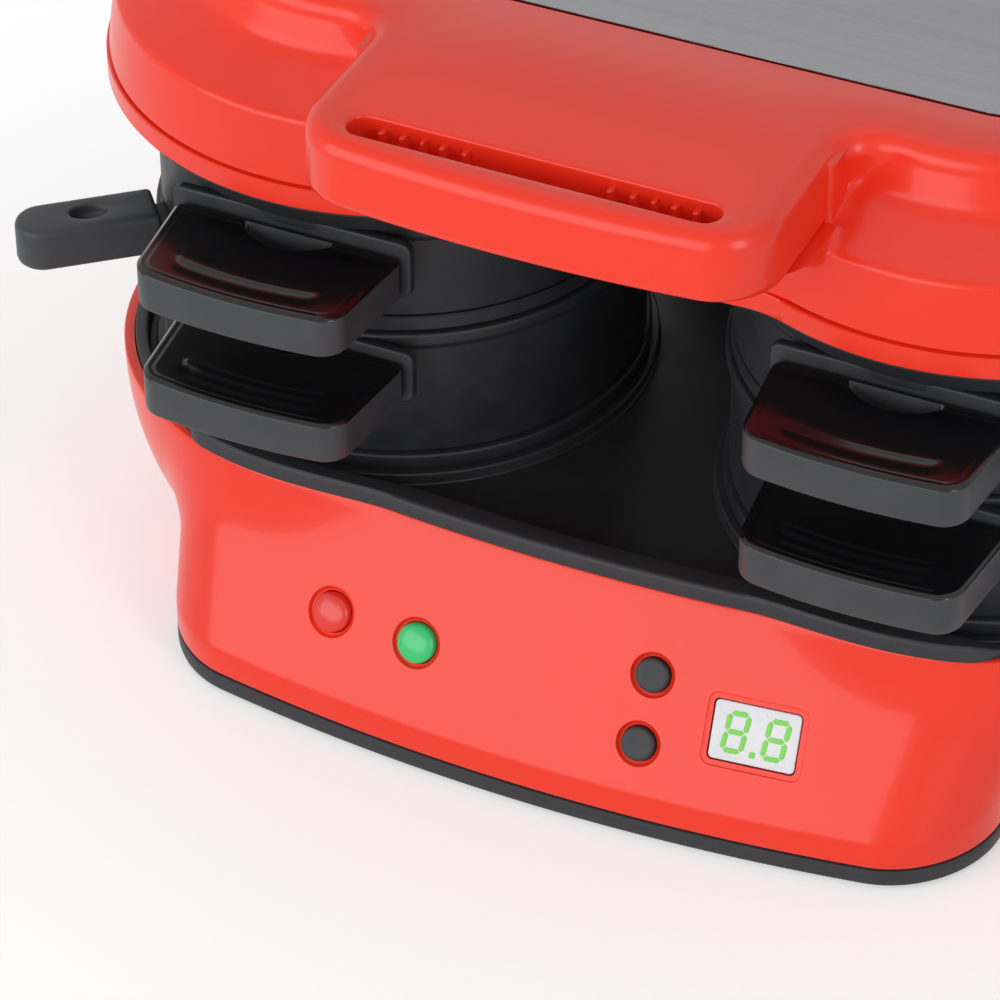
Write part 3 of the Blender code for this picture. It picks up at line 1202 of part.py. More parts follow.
def build():
    """Build every piece at its place in the closed machine."""
    clear_scene()
    finishes = make_finishes()
    base_shell(finishes)
    base_tray(finishes)
    bottom_cover(finishes)
    feet(finishes)
    bottom_screws(finishes)
    control_board(finishes)
    display_module(finishes)
    light("power_light", POWER_LIGHT_X, "red_lens", finishes)
    light("ready_light", READY_LIGHT_X, "green_lens", finishes)
    push_button("timer_up_button", BUTTON_UP_Z, finishes)
    push_button("timer_down_button", BUTTON_DOWN_Z, finishes)
    cord_gland(finishes)
    hinge_column(finishes)
    hinge_rod(finishes)
    lid_shell(finishes)
    lid_liner(finishes)
    steel_panel(finishes)
    upper_element_z = UPPER_PLATE_BOTTOM + UPPER_PLATE_THICKNESS + SEAT_GAP + ELEMENT_TUBE
    lower_element_z = LOWER_PLATE_BOTTOM - SEAT_GAP - ELEMENT_TUBE
    for word, side in SIDES:
        x = pocket_x(side)
        hinge_post(f"hinge_post_{word}", side, finishes)
        lower_plate(f"lower_plate_{word}", x, finishes)
        heating_element(f"lower_element_{word}", x, lower_element_z, finishes)
        thermostat(f"lower_thermostat_{word}", x, finishes)
        bottom_ring(f"bottom_ring_{word}", x, finishes)
        ring_handle(f"bottom_ring_handle_{word}", x, LOWER_HANDLE_TOP, finishes)
        egg_plate(f"egg_plate_{word}", side, finishes)
        egg_handle(f"egg_handle_{word}", side, finishes)
        egg_pin(f"egg_pivot_pin_{word}", side, finishes)
        top_ring(f"top_ring_{word}", side, finishes)
        ring_handle(f"top_ring_handle_{word}", x, UPPER_HANDLE_TOP, finishes)
        upper_plate(f"upper_plate_{word}", x, finishes)
        element = heating_element(f"upper_element_{word}", x, upper_element_z, finishes)
        set_origin(element, (0.0, HINGE_Y, HINGE_Z))


build()
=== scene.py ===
"""Looks of the twin-pocket electric burger maker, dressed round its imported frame.

The moulded pieces are stacks of closed outlines. An outline is the zero line of a plane distance field, found
along rays from the middle, so lobes, necks and handles run into each other with real fillet radii. Turned
pieces are profiles swept round an axis. Sizes are in millimetres here and become metres in the mesh.
"""
import logging
import math
from dataclasses import dataclass, field
from enum import Enum
from typing import Callable, Sequence

import bmesh
import bpy
import numpy as np
from mathutils import Matrix, Vector
from mathutils.geometry import delaunay_2d_cdt
from numpy.typing import NDArray


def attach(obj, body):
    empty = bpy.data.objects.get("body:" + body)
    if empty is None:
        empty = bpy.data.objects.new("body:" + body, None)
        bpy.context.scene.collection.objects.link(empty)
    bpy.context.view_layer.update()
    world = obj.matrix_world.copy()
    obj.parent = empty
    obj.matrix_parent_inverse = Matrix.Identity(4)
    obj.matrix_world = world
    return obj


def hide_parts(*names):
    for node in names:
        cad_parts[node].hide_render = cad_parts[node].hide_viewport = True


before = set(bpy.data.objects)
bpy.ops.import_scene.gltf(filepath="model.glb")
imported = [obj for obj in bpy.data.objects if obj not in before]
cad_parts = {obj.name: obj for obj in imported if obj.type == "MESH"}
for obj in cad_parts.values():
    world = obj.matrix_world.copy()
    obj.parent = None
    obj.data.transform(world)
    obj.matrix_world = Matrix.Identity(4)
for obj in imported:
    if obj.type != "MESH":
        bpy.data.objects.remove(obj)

Array = NDArray[np.float64]
Field = Callable[[Array, Array], Array]
Place = tuple[float, float]

LOG = logging.getLogger("burger_maker")
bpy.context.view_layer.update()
METRE = 0.001
PITCH = 154.0
HINGE = (86.0, 122.0)


class Side(Enum):
    """The two pockets, seen from the front."""

    LEFT = -1
    RIGHT = 1

    @property
    def word(self) -> str:
        """Name of the side in the frame's node names."""
        return self.name.lower()

    @property
    def x(self) -> float:
        """Middle of the pocket along X."""
        return self.value * PITCH / 2


def round_union(a: Array, b: Array, radius: float | Array) -> Array:
    """Join two distance fields with a fillet.

    Formula: the larger of the radius and the nearer field, less the length of what each field falls short of
    the radius.

    Args:
        a: first field.
        b: second field.
        radius: fillet radius where they meet.

    Returns:
        The joined field.
    """
    reach = np.hypot(np.maximum(radius - a, 0.0), np.maximum(radius - b, 0.0))
    return np.maximum(radius, np.minimum(a, b)) - reach


def round_common(a: Array, b: Array, radius: float | Array) -> Array:
    """Intersect two distance fields with a rounded corner.

    Formula: the smaller of minus the radius and the farther field, plus the length of what each field
    exceeds minus the radius by.

    Args:
        a: first field.
        b: second field.
        radius: corner radius where they meet.

    Returns:
        The common field.
    """
    reach = np.hypot(np.maximum(a + radius, 0.0), np.maximum(b + radius, 0.0))
    return np.minimum(-radius, np.maximum(a, b)) + reach


def disc_field(x: Array, y: Array, centre: float, radius: float | Array) -> Array:
    """Distance to a disc on the X axis: length to its middle less its radius."""
    return np.hypot(x - centre, y) - radius


def bowed_field(x: Array, y: Array, half: float | Array, front: float | Array, bow: float | Array,
                rear: float | Array, corner: float | Array, rear_corner: float | Array) -> Array:
    """Distance to a slab whose front edge is an arc.

    Formula: common field of two side planes, a rear plane and a disc that touches the front and has fallen
    back by the bow at the half width.

    Args:
        x: places across.
        y: places in depth.
        half: half width.
        front: depth of the front at the middle.
        bow: how far the front has fallen back at the half width.
        rear: depth of the rear.
        corner: corner radius at the front.
        rear_corner: corner radius at the rear.

    Returns:
        The field.
    """
    radius = (half ** 2 + bow ** 2) / (2 * bow)
    face = np.hypot(x, y - front - radius) - radius
    sides = np.abs(x) - half
    return round_common(round_common(face, sides, corner), y - rear, rear_corner)


def rays(count: int) -> Array:
    """Even angles round a circle."""
    return np.linspace(0.0, 2 * np.pi, count, endpoint=False)


def trace(shape: Field, angles: Array, centre: Place = (0.0, 0.0), reach: float = 260.0) -> Array:
    """Find where rays from a centre leave a field.

    Formula: halve the span between the centre and the reach 30 times, and keep the half whose ends differ in
    sign.

    Args:
        shape: field of x and y, negative inside.
        angles: ray angles, as one row or as a row for each level.
        centre: where the rays start.
        reach: length that is outside for every ray.

    Returns:
        Points with a last axis of x and y.
    """
    across, along = np.cos(angles), np.sin(angles)
    low = np.zeros_like(angles)
    high = np.full_like(angles, reach)
    for _ in range(30):
        middle = (low + high) / 2
        outside = shape(centre[0] + middle * across, centre[1] + middle * along) > 0
        high = np.where(outside, middle, high)
        low = np.where(outside, low, middle)
    return np.stack([centre[0] + low * across, centre[1] + low * along], axis=-1)


def even_rays(shape: Field, count: int, centre: tuple[float, float] = (0.0, 0.0)) -> Array:
    """Choose ray angles that space the points evenly along an outline.

    Formula: the running length of a fine outline is inverted at even steps.

    Args:
        shape: field of the outline.
        count: number of rays.
        centre: where the rays start.

    Returns:
        Angles in rising order.
    """
    fine = rays(count * 6)
    points = trace(shape, fine, centre)
    steps = np.linalg.norm(np.roll(points, -1, axis=0) - points, axis=-1)
    length = np.concatenate([[0.0], np.cumsum(steps)])
    return np.interp(np.linspace(0.0, length[-1], count, endpoint=False), length, np.append(fine, 2 * np.pi))


@dataclass
class Shell:
    """Points and faces that grow into one mesh."""

    points: list[Array] = field(default_factory=list)
    faces: list[list[int]] = field(default_factory=list)
    count: int = 0

    def add_points(self, points: Array) -> int:
        """Add points and return the number of the first."""
        first = self.count
        self.points.append(np.asarray(points, dtype=float).reshape(-1, 3))
        self.count += len(self.points[-1])
        return first

    def grid(self, rows: Array, closed: bool = True, loop: bool = False) -> tuple[int, int]:
        """Add a grid of quads.

        Formula: point (i, j) joins (i, j+1), (i+1, j+1) and (i+1, j); closed rows wrap in j and a loop wraps
        in i.

        Args:
            rows: points as rows, columns and x, y, z.
            closed: whether each row is a closed line.
            loop: whether the last row joins the first.

        Returns:
            Numbers of the first points of the first and of the last row.
        """
        levels, width = rows.shape[:2]
        first = self.add_points(rows)
        i = np.arange(levels if loop else levels - 1)[:, None]
        j = np.arange(width if closed else width - 1)[None, :]
        after_i, after_j = (i + 1) % levels, (j + 1) % width
        corners = [(i, j), (i, after_j), (after_i, after_j), (after_i, j)]
        quads = np.stack([row * width + column for row, column in corners], -1)
        self.faces.extend((quads.reshape(-1, 4) + first).tolist())
        return first, first + (levels - 1) * width

    def cap(self, loops: Sequence[Sequence[int]]) -> None:
        """Fill a flat face between one outer loop of point numbers and its holes.

        Formula: triangles between all the points that keep the loops as edges; a triangle stays where a ray
        from its middle crosses the loops an odd number of times.

        Args:
            loops: the outer loop and the holes, each as point numbers.
        """
        numbers = np.concatenate([np.asarray(list(loop)) for loop in loops])
        corners = np.concatenate(self.points)[numbers]
        flat = corners[:, np.argsort(np.ptp(corners, axis=0))[1:]]
        starts = np.cumsum([0] + [len(loop) for loop in loops])
        edges = np.concatenate([np.stack([np.arange(a, b), a + (np.arange(b - a) + 1) % (b - a)], axis=-1)
                                for a, b in zip(starts[:-1], starts[1:])])
        made = delaunay_2d_cdt([Vector(point) for point in flat], edges.tolist(), [], 0, 1e-7)
        places = np.array([tuple(place) for place in made[0]])
        nearest = np.argmin(np.linalg.norm(places[:, None, :] - flat[None, :, :], axis=-1), axis=1)
        source = np.array([origin[0] if origin else near for origin, near in zip(made[3], nearest)])
        faces = source[np.array(made[2])]
        middle = flat[faces].mean(axis=1)
        start, end = flat[edges[:, 0]], flat[edges[:, 1]]
        spans = (start[None, :, 1] > middle[:, None, 1]) != (end[None, :, 1] > middle[:, None, 1])
        rise = np.where(start[:, 1] == end[:, 1], 1.0, end[:, 1] - start[:, 1])
        cross = start[:, 0] + (end[:, 0] - start[:, 0]) * (middle[:, [1]] - start[:, 1]) / rise
        inside = np.sum(spans & (middle[:, [0]] < cross), axis=1) % 2 == 1
        self.faces.extend(numbers[faces[inside]].tolist())

    def fan(self, first: int, width: int) -> None:
        """Close a ring of points with one point at their mean."""
        table = np.concatenate(self.points)
        middle = self.add_points(table[first:first + width].mean(axis=0))
        ring = np.arange(width)
        corners = np.stack([first + ring, first + (ring + 1) % width, np.full(width, middle)], axis=-1)
        self.faces.extend(corners.tolist())

    def mesh(self, name: str) -> bpy.types.Mesh:
        """Make the mesh, weld its seams and turn its faces outwards.

        Args:
            name: name of the mesh.

        Returns:
            The mesh, in metres.
        """
        data = bpy.data.meshes.new(name)
        data.from_pydata((np.concatenate(self.points) * METRE).tolist(), [], self.faces)
        work = bmesh.new()
        work.from_mesh(data)
        bmesh.ops.remove_doubles(work, verts=work.verts, dist=2e-6)
        bmesh.ops.dissolve_degenerate(work, edges=work.edges, dist=1e-6)
        bmesh.ops.recalc_face_normals(work, faces=work.faces)
        work.to_mesh(data)
        work.free()
        return data


def piece(name: str, shell: Shell, body: str, finish: "Finish", replaced: Sequence[str] = (),
          sharp: float = 32.0) -> bpy.types.Object:
    """Make a piece of the object from a shell.

    Args:
        name: the piece's name.
        shell: its points and faces.
        body: frame body that it rides on.
        finish: what it is dressed in.
        replaced: frame nodes that it stands for.
        sharp: angle in degrees from which an edge is shaded sharp.

    Returns:
        The object.
    """
    data = shell.mesh(name)
    item = bpy.data.objects.new(name, data)
    bpy.context.collection.objects.link(item)
    return settle(item, body, finish, replaced, sharp)


def settle(item: bpy.types.Object, body: str, finish: "Finish", replaced: Sequence[str] = (),
           sharp: float = 32.0) -> bpy.types.Object:
    """Shade and dress an object, hang it on its body and report it.

    Args:
        item: the object.
        body: frame body that it rides on.
        finish: what it is dressed in.
        replaced: frame nodes that it stands for.
        sharp: angle in degrees from which an edge is shaded sharp.

    Returns:
        The object.
    """
    item.data.shade_smooth()
    item.data.set_sharp_from_angle(angle=math.radians(sharp))
    item.data.materials.clear()
    item.data.materials.append(finish.material())
    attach(item, body)
    if replaced:
        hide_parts(*replaced)
    LOG.info("%s: %d faces on %s", item.name, len(item.data.polygons), body)
    return item


def crown(item: bpy.types.Object, finish: "Finish", low: float) -> bpy.types.Object:
    """Give the faces that look up and lie above a height a second finish; here it is a darker copy of the handle's
    black, painted shade on the handle tops.

    Args:
        item: piece, whose own finish stays on its other faces.
        finish: finish of the top, a darker copy that is painted shade.
        low: height in metres.

    Returns:
        The piece.
    """
    faces = item.data.polygons
    normals, centres = np.empty(3 * len(faces)), np.empty(3 * len(faces))
    faces.foreach_get("normal", normals)
    faces.foreach_get("center", centres)
    up = (normals[2::3] > 0.35) & (centres[2::3] > low)
    item.data.materials.append(finish.material())
    faces.foreach_set("material_index", up.astype(np.int32))
    item.data.update()
    return item


@dataclass(frozen=True)
class Finish:
    """A surface finish, made from noise in Object coordinates."""

    name: str
    slot: str
    colour: tuple[float, float, float]
    roughness: float
    metallic: float = 0.0
    coat: float = 0.0
    coat_roughness: float = 0.05
    specular: float = 0.5
    grain_size: float = 900.0
    grain_depth: float = 0.02
    stretch: tuple[float, float, float] = (1.0, 1.0, 1.0)
    tone: float = 0.04
    gloss_drift: float = 0.05
    anisotropy: float = 0.0
    glow: float = 0.0

    def material(self) -> bpy.types.Material:
        """Return the Blender material, made on first use.

        Returns:
            A material whose colour and roughness drift slowly and whose bump is a fine grain.
        """
        found = bpy.data.materials.get(self.name)
        if found is not None:
            return found
        made = bpy.data.materials.new(self.name)
        made.use_nodes = True
        nodes, links = made.node_tree.nodes, made.node_tree.links
        shader = nodes["Principled BSDF"]
        shader.inputs["Metallic"].default_value = self.metallic
        shader.inputs["Coat Weight"].default_value = self.coat
        shader.inputs["Coat Roughness"].default_value = self.coat_roughness
        shader.inputs["Specular IOR Level"].default_value = self.specular
        shader.inputs["Anisotropic"].default_value = self.anisotropy
        place = nodes.new("ShaderNodeTexCoord")
        turn = nodes.new("ShaderNodeMapping")
        turn.inputs["Scale"].default_value = self.stretch
        links.new(place.outputs["Object"], turn.inputs["Vector"])
        drift = nodes.new("ShaderNodeTexNoise")
        drift.inputs["Scale"].default_value = self.grain_size / 25
        drift.inputs["Detail"].default_value = 3.0
        links.new(turn.outputs["Vector"], drift.inputs["Vector"])
        shade = nodes.new("ShaderNodeValToRGB")
        low = [max(0.0, value * (1 - self.tone)) for value in self.colour]
        high = [min(1.0, value * (1 + self.tone)) for value in self.colour]
        shade.color_ramp.elements[0].position = 0.3
        shade.color_ramp.elements[0].color = (*low, 1.0)
        shade.color_ramp.elements[1].position = 0.7
        shade.color_ramp.elements[1].color = (*high, 1.0)
        links.new(drift.outputs["Fac"], shade.inputs["Fac"])
        links.new(shade.outputs["Color"], shader.inputs["Base Color"])
        gloss = nodes.new("ShaderNodeMapRange")
        gloss.inputs["From Min"].default_value = 0.3
        gloss.inputs["From Max"].default_value = 0.7
        gloss.inputs["To Min"].default_value = max(0.02, self.roughness - self.gloss_drift)
        gloss.inputs["To Max"].default_value = min(1.0, self.roughness + self.gloss_drift)
        links.new(drift.outputs["Fac"], gloss.inputs["Value"])
        links.new(gloss.outputs["Result"], shader.inputs["Roughness"])
        grain = nodes.new("ShaderNodeTexNoise")
        grain.inputs["Scale"].default_value = self.grain_size
        grain.inputs["Detail"].default_value = 4.0
        links.new(turn.outputs["Vector"], grain.inputs["Vector"])
        bump = nodes.new("ShaderNodeBump")
        bump.inputs["Strength"].default_value = self.grain_depth
        bump.inputs["Distance"].default_value = 0.0006
        links.new(grain.outputs["Fac"], bump.inputs["Height"])
        links.new(bump.outputs["Normal"], shader.inputs["Normal"])
        if self.glow > 0.0:
            shader.inputs["Emission Color"].default_value = (*self.colour, 1.0)
            shader.inputs["Emission Strength"].default_value = self.glow
        return made


RED = Finish("red_gloss_plastic", "red_gloss", (0.86, 0.036, 0.014), 0.3, coat=0.16, coat_roughness=0.08,
             specular=0.3, grain_size=350.0, grain_depth=0.012, tone=0.015, gloss_drift=0.02)
HANDLE_BLACK = Finish("handle_satin_black", "black_plastic", (0.045, 0.047, 0.052), 0.42, specular=0.3,
                      grain_size=2600.0, grain_depth=0.12, tone=0.08)
# Painted shade: the up-facing handle tops get this much darker copy of the handle black, with a glossier finish.
HANDLE_TOP_SHADE = Finish("handle_gloss_black", "black_plastic", (0.006, 0.006, 0.007), 0.2, specular=0.4,
                      grain_size=900.0, grain_depth=0.02, tone=0.1, gloss_drift=0.03)
HOUSING_BLACK = Finish("housing_black", "black_plastic", (0.026, 0.027, 0.03), 0.5, specular=0.35,
                       grain_size=2200.0, grain_depth=0.1, tone=0.08)
COATING = Finish("ring_coating", "dark_coating", (0.024, 0.025, 0.028), 0.48, metallic=0.2, specular=0.4,
                 grain_size=3200.0, grain_depth=0.16, tone=0.12)
PANEL_STEEL = Finish("brushed_panel_steel", "brushed_panel", (0.24, 0.24, 0.25), 0.3, metallic=1.0,
                     grain_size=420.0, grain_depth=0.25, stretch=(0.04, 8.0, 1.0), tone=0.1, gloss_drift=0.06,
                     anisotropy=0.6)
PLAIN_STEEL = Finish("plain_steel", "bright_steel", (0.5, 0.5, 0.5), 0.3, metallic=1.0, grain_size=1400.0,
                     grain_depth=0.06, tone=0.06)
RUBBER = Finish("foot_rubber", "foot_rubber", (0.025, 0.025, 0.026), 0.8, grain_size=1800.0, grain_depth=0.2)
RED_LENS = Finish("red_lens", "red_lens", (0.48, 0.012, 0.01), 0.14, coat=0.3, specular=0.4, grain_size=500.0,
                  grain_depth=0.01, tone=0.2)
GREEN_LENS = Finish("green_lens", "green_lens", (0.03, 0.24, 0.1), 0.14, coat=0.3, specular=0.4,
                    grain_size=500.0, grain_depth=0.01, tone=0.2, glow=0.05)
DISPLAY = Finish("display_window", "display_white", (0.72, 0.73, 0.76), 0.3, grain_size=900.0, grain_depth=0.25,
                 tone=0.05)
DIGIT = Finish("display_digit", "display_white", (0.16, 0.55, 0.06), 0.4, grain_size=900.0, tone=0.1, glow=0.15)
BOARD = Finish("board_lacquer", "board_green", (0.02, 0.14, 0.06), 0.4, grain_size=1200.0)


@dataclass
class Lid:
    """The lid moulding, its liner, its steel panel and the plates it carries."""

    bottom: float = 138.3
    top: float = 181.8
    crease: tuple[float, float] = (68.8, 161.4)
    shoulder: tuple[float, float] = (52.6, 168.4)
    dome: tuple[float, float] = (49.5, 176.8)
    edge: float = 5.0
    wall: float = 2.6
    rear: float = 74.0
    tongue_half: float = 57.6
    tongue_front: float = -103.7
    tongue_bow: float = 3.9
    tongue_bottom: float = 163.8
    cove_foot: float = -66.0
    cove_reach: float = 22.0
    panel: tuple[float, float, float, float] = (104.0, -31.0, 44.0, 22.0)
    slot: tuple[float, float, float] = (45.0, -92.0, 4.0)
    slot_floor: float = 170.0
    rays: int = 760

    def levels(self) -> Array:
        """List the outer levels from the bottom edge to the flat top.

        Formula: each row holds height, lobe radius, neck half width, front depth, front bow, front corner,
        fillet and inset. The shoulder is a straight slope with a small arc at either end, the cove is a
        quarter ellipse, and the top edge is a quarter circle taken as an inset.

        Returns:
            Rows of eight numbers.
        """
        rows = [(self.bottom, 71.6, 64.0, self.cove_foot, 3.0, 3.0, 3.0, 0.0),
                (self.bottom + 0.4, 72.0, 64.0, self.cove_foot, 3.0, 3.0, 3.0, 0.0),
                (self.bottom + 3.0, 72.0, 64.0, self.cove_foot, 3.0, 3.0, 3.0, 0.0),
                (143.7, 72.0, 64.0, self.cove_foot, 3.0, 3.0, 3.0, 0.0),
                (144.0, 71.7, 64.0, self.cove_foot, 3.0, 3.0, 3.0, 0.0),
                (144.05, 70.0, 64.0, self.cove_foot, 3.0, 3.0, 3.0, 0.0),
                (144.7, 69.9, 64.0, self.cove_foot, 3.0, 3.0, 3.0, 0.0),
                (144.8, 71.2, 64.0, self.cove_foot, 3.0, 3.0, 3.0, 0.0)]
        cove = np.linspace(0.02, 1.0, 26)
        for share in cove:
            turn = share * math.pi / 2
            z = 144.9 + (self.tongue_bottom - 144.9) * math.sin(turn)
            front = self.cove_foot - self.cove_reach * (1 - math.cos(turn))
            rows.append((z, self.lobe_radius(z), self.neck_half(z), front, 3.0 + share, 4.0 + 4 * share,
                         2.5, 0.0))
        z = self.tongue_bottom
        for lift, draw in ((0.0, 2.2), (0.25, 1.1), (0.9, 0.35), (1.9, 0.0)):
            rows.append((z + lift, self.lobe_radius(z + lift), self.tongue_half - draw * 0.6,
                         self.tongue_front + draw, self.tongue_bow, 14.0, 2.5 + lift, 0.0))
        for z in np.linspace(166.6, self.dome[1], 16):
            fillet = np.interp(z, [165.7, 168.4, 176.8], [4.5, 5.0, 13.0])
            rows.append((z, self.lobe_radius(z), self.tongue_half, self.tongue_front, self.tongue_bow, 14.0,
                         fillet, 0.0))
        for turn in np.linspace(0.0, math.pi / 2, 13)[1:]:
            z = self.dome[1] + self.edge * math.sin(turn)
            rows.append((z, self.dome[0], self.tongue_half, self.tongue_front, self.tongue_bow, 14.0, 13.0,
                         self.edge * (1 - math.cos(turn))))
        return np.array(rows)

    def lobe_radius(self, z: float) -> float:
        """Lobe radius at a height: drafted wall, rounded crease, sloping shoulder and steep dome wall."""
        heights = [144.7, 152.0, 160.2, 160.9, 161.3, 161.6, 162.2, 165.2, 167.2, 168.0, 168.6, 169.3, 170.6,
                   176.8]
        radii = [71.3, 70.4, 69.1, 68.8, 68.4, 67.8, 66.4, 59.2, 54.9, 53.5, 52.8, 52.2, 51.5, 49.5]
        return float(np.interp(z, heights, radii))

    def neck_half(self, z: float) -> float:
        """Half width of the neck under the handle: it drafts outwards on the way down."""
        return float(np.interp(z, [144.0, 163.8], [64.0, 60.0]))

    def field(self, rows: Array) -> Field:
        """Plane field of the lid at each level.

        Formula: two lobes joined to a bowed neck with the level's fillet, then moved inwards by its inset.

        Args:
            rows: levels as `levels` gives them.

        Returns:
            A field whose first axis is the level.
        """
        z, radius, half, front, bow, corner, fillet, inset = (rows[:, [i]] for i in range(8))

        def shape(x: Array, y: Array) -> Array:
            """The field at places x, y."""
            lobes = np.minimum(disc_field(x, y, PITCH / 2, radius), disc_field(x, y, -PITCH / 2, radius))
            neck = bowed_field(x, y, half, front, bow, self.rear, corner, 8.0)
            return round_union(lobes, neck, fillet) + inset
        return shape

    def stack(self, rows: Array, angles: Array) -> Array:
        """Trace every level and return its points with their heights."""
        flat = trace(self.field(rows), np.tile(angles, (len(rows), 1)))
        height = np.broadcast_to(rows[:, [0]], flat.shape[:2])
        return np.concatenate([flat, height[..., None]], axis=-1)

    def panel_loop(self, angles: Array, grow: float) -> Array:
        """Outline of the panel's recess, grown by a distance."""
        half, front, rear, corner = self.panel

        def shape(x: Array, y: Array) -> Array:
            """Rounded rectangle whose middle is off the origin in depth."""
            centre = (front + rear) / 2
            deep = np.abs(y - centre) - (rear - front) / 2
            return round_common(np.abs(x) - half, deep, corner) - grow
        return trace(shape, angles)

    def slot_rows(self) -> Array:
        """Levels of the blind slot in the handle.

        Formula: a stadium of 92 by 8 sampled at even steps; below the ledge, its rear wall steps forward by
        the rib depth wherever the place across lies on a rib.

        Returns:
            Points as levels, columns and x, y, z, from the rounded mouth to the floor.
        """
        half, middle, short = self.slot
        straight = np.linspace(-(half - short), half - short, 241)
        turn = np.linspace(0, np.pi, 17)[1:-1]
        right = np.stack([half - short + short * np.sin(turn), middle - short * np.cos(turn)], -1)
        front = np.stack([straight, np.full_like(straight, middle - short)], -1)
        back = np.stack([straight[::-1], np.full_like(straight, middle + short)], -1)
        left = -right + np.array([0.0, 2 * middle])
        loop = np.concatenate([front, right, back, left])
        outward = loop - np.stack([np.clip(loop[:, 0], short - half, half - short),
                                   np.full(len(loop), middle)], -1)
        outward /= np.linalg.norm(outward, axis=-1, keepdims=True)
        ribs = np.array([-38.0, -33.0, -28.0, -23.0, -17.5, 17.5, 23.0, 28.0, 33.0, 38.0])
        near = np.min(np.abs(loop[:, [0]] - ribs[None, :]), axis=1)
        ribbed = np.where((near < 0.62) & (loop[:, 1] > middle + short - 0.01), 2.2, 0.0)
        rows = []
        for lift, grow, rib in ((0.0, 0.9, 0.0), (-0.25, 0.45, 0.0), (-0.6, 0.12, 0.0), (-1.0, 0.0, 0.0),
                                (-2.6, 0.0, 0.0), (-2.9, 0.0, 1.0), (self.slot_floor - self.top, 0.0, 1.0)):
            flat = loop + outward * grow
            flat[:, 1] -= ribbed * rib
            rows.append(np.column_stack([flat, np.full(len(flat), self.top + lift)]))
        return np.array(rows)

    def moulding(self) -> bpy.types.Object:
        """Build the lid moulding as one closed shell with its slot, recess and hinge arms."""
        rows = self.levels()
        plateau = rows[[-13]]
        angles = even_rays(lambda x, y: self.field(plateau)(x[None, :], y[None, :])[0], self.rays)
        shell = Shell()
        outer = self.stack(rows, angles)
        _, top = shell.grid(outer)
        recess = self.panel_loop(angles, 0.0)
        rim = self.panel_loop(angles, 0.35)
        drop = [(rim, 0.0), (self.panel_loop(angles, 0.1), -0.1), (recess, -0.35), (recess, -1.2)]
        steps = np.array([np.column_stack([flat, np.full(len(flat), self.top + lift)])
                          for flat, lift in drop])
        mouth, floor = shell.grid(steps)
        shell.cap([range(floor, floor + self.rays)])
        slot = self.slot_rows()
        lip, bottom = shell.grid(slot)
        shell.cap([range(top, top + self.rays), range(mouth, mouth + self.rays),
                   range(lip, lip + slot.shape[1])])
        shell.cap([range(bottom, bottom + slot.shape[1])])
        inner = self.inner_rows()
        hollow = self.stack(inner, angles)
        first, last = shell.grid(hollow)
        shell.cap([range(last, last + self.rays)])
        shell.cap([range(0, self.rays), range(first, first + self.rays)])
        for centre in (37.0, 96.0):
            for side in Side:
                start = 71.8 if centre < 60 else 67.8
                arm = Arm(side.value * centre, 6.0, [(start, 138.9), (start, 156.0), (81.0, 148.0)])
                arm.add_to(shell)
        return piece("lid_moulding", shell, "lid", RED, ["lid_shell"], sharp=38.0)

    def inner_rows(self) -> Array:
        """Levels of the hollow: the outer levels moved in and down by the wall."""
        rows = []
        for z in (self.bottom, 150.0, 158.0, 161.0, 164.0, 168.0, 174.0, 179.2):
            radius = self.lobe_radius(min(z + 1.6, 176.8)) if z > 145 else 71.4
            rows.append((z, radius, 61.5, self.cove_foot, 3.0, 4.0, 3.0, self.wall))
        return np.array(rows)


@dataclass
class Arm:
    """A hinge arm: a plate across the hinge whose side view is a knuckle joined to a root."""

    centre: float
    thickness: float
    root: list[tuple[float, float]]
    knuckle: float = 6.5
    bore: float = 3.3
    bevel: float = 0.7
    count: int = 96

    def outline(self) -> Array:
        """Side view as a closed line: the convex hull of the knuckle and the root, sampled evenly.

        Returns:
            Points of depth and height.
        """
        turn = rays(72)
        circle = np.array(HINGE) + self.knuckle * np.column_stack([np.cos(turn), np.sin(turn)])
        points = np.concatenate([circle, np.array(self.root)])
        hull = convex_hull(points)
        return resample(hull, self.count)

    def add_to(self, shell: Shell) -> None:
        """Add the plate, with rounded edges and its bore, to a shell."""
        line = self.outline()
        normal = line_normals(line)
        turn = np.arctan2(line[:, 1] - HINGE[1], line[:, 0] - HINGE[0])
        bore = np.column_stack([HINGE[0] + self.bore * np.cos(turn), HINGE[1] + self.bore * np.sin(turn)])
        half = self.thickness / 2
        rows = []
        for across, inset in ((-half, self.bevel), (self.bevel - half, 0.0), (half - self.bevel, 0.0),
                              (half, self.bevel)):
            flat = line - normal * inset
            rows.append(np.column_stack([np.full(len(flat), self.centre + across), flat]))
        for across in (half, -half):
            rows.append(np.column_stack([np.full(len(bore), self.centre + across), bore]))
        shell.grid(np.array(rows), loop=True)


def convex_hull(points: Array) -> Array:
    """Convex hull of plane points, anticlockwise, by the monotone chain."""
    order = points[np.lexsort((points[:, 1], points[:, 0]))]

    def half(run: Array) -> list[Array]:
        """One side of the hull."""
        kept: list[Array] = []
        for point in run:
            while len(kept) > 1:
                a, b = kept[-1] - kept[-2], point - kept[-1]
                if a[0] * b[1] - a[1] * b[0] > 0:
                    break
                kept.pop()
            kept.append(point)
        return kept[:-1]
    return np.array(half(order) + half(order[::-1]))


def resample(line: Array, count: int) -> Array:
    """Even steps along a closed line, by inverting its running length."""
    closed = np.vstack([line, line[:1]])
    length = np.concatenate([[0.0], np.cumsum(np.linalg.norm(np.diff(closed, axis=0), axis=-1))])
    spots = np.linspace(0.0, length[-1], count, endpoint=False)
    return np.column_stack([np.interp(spots, length, closed[:, axis]) for axis in (0, 1)])


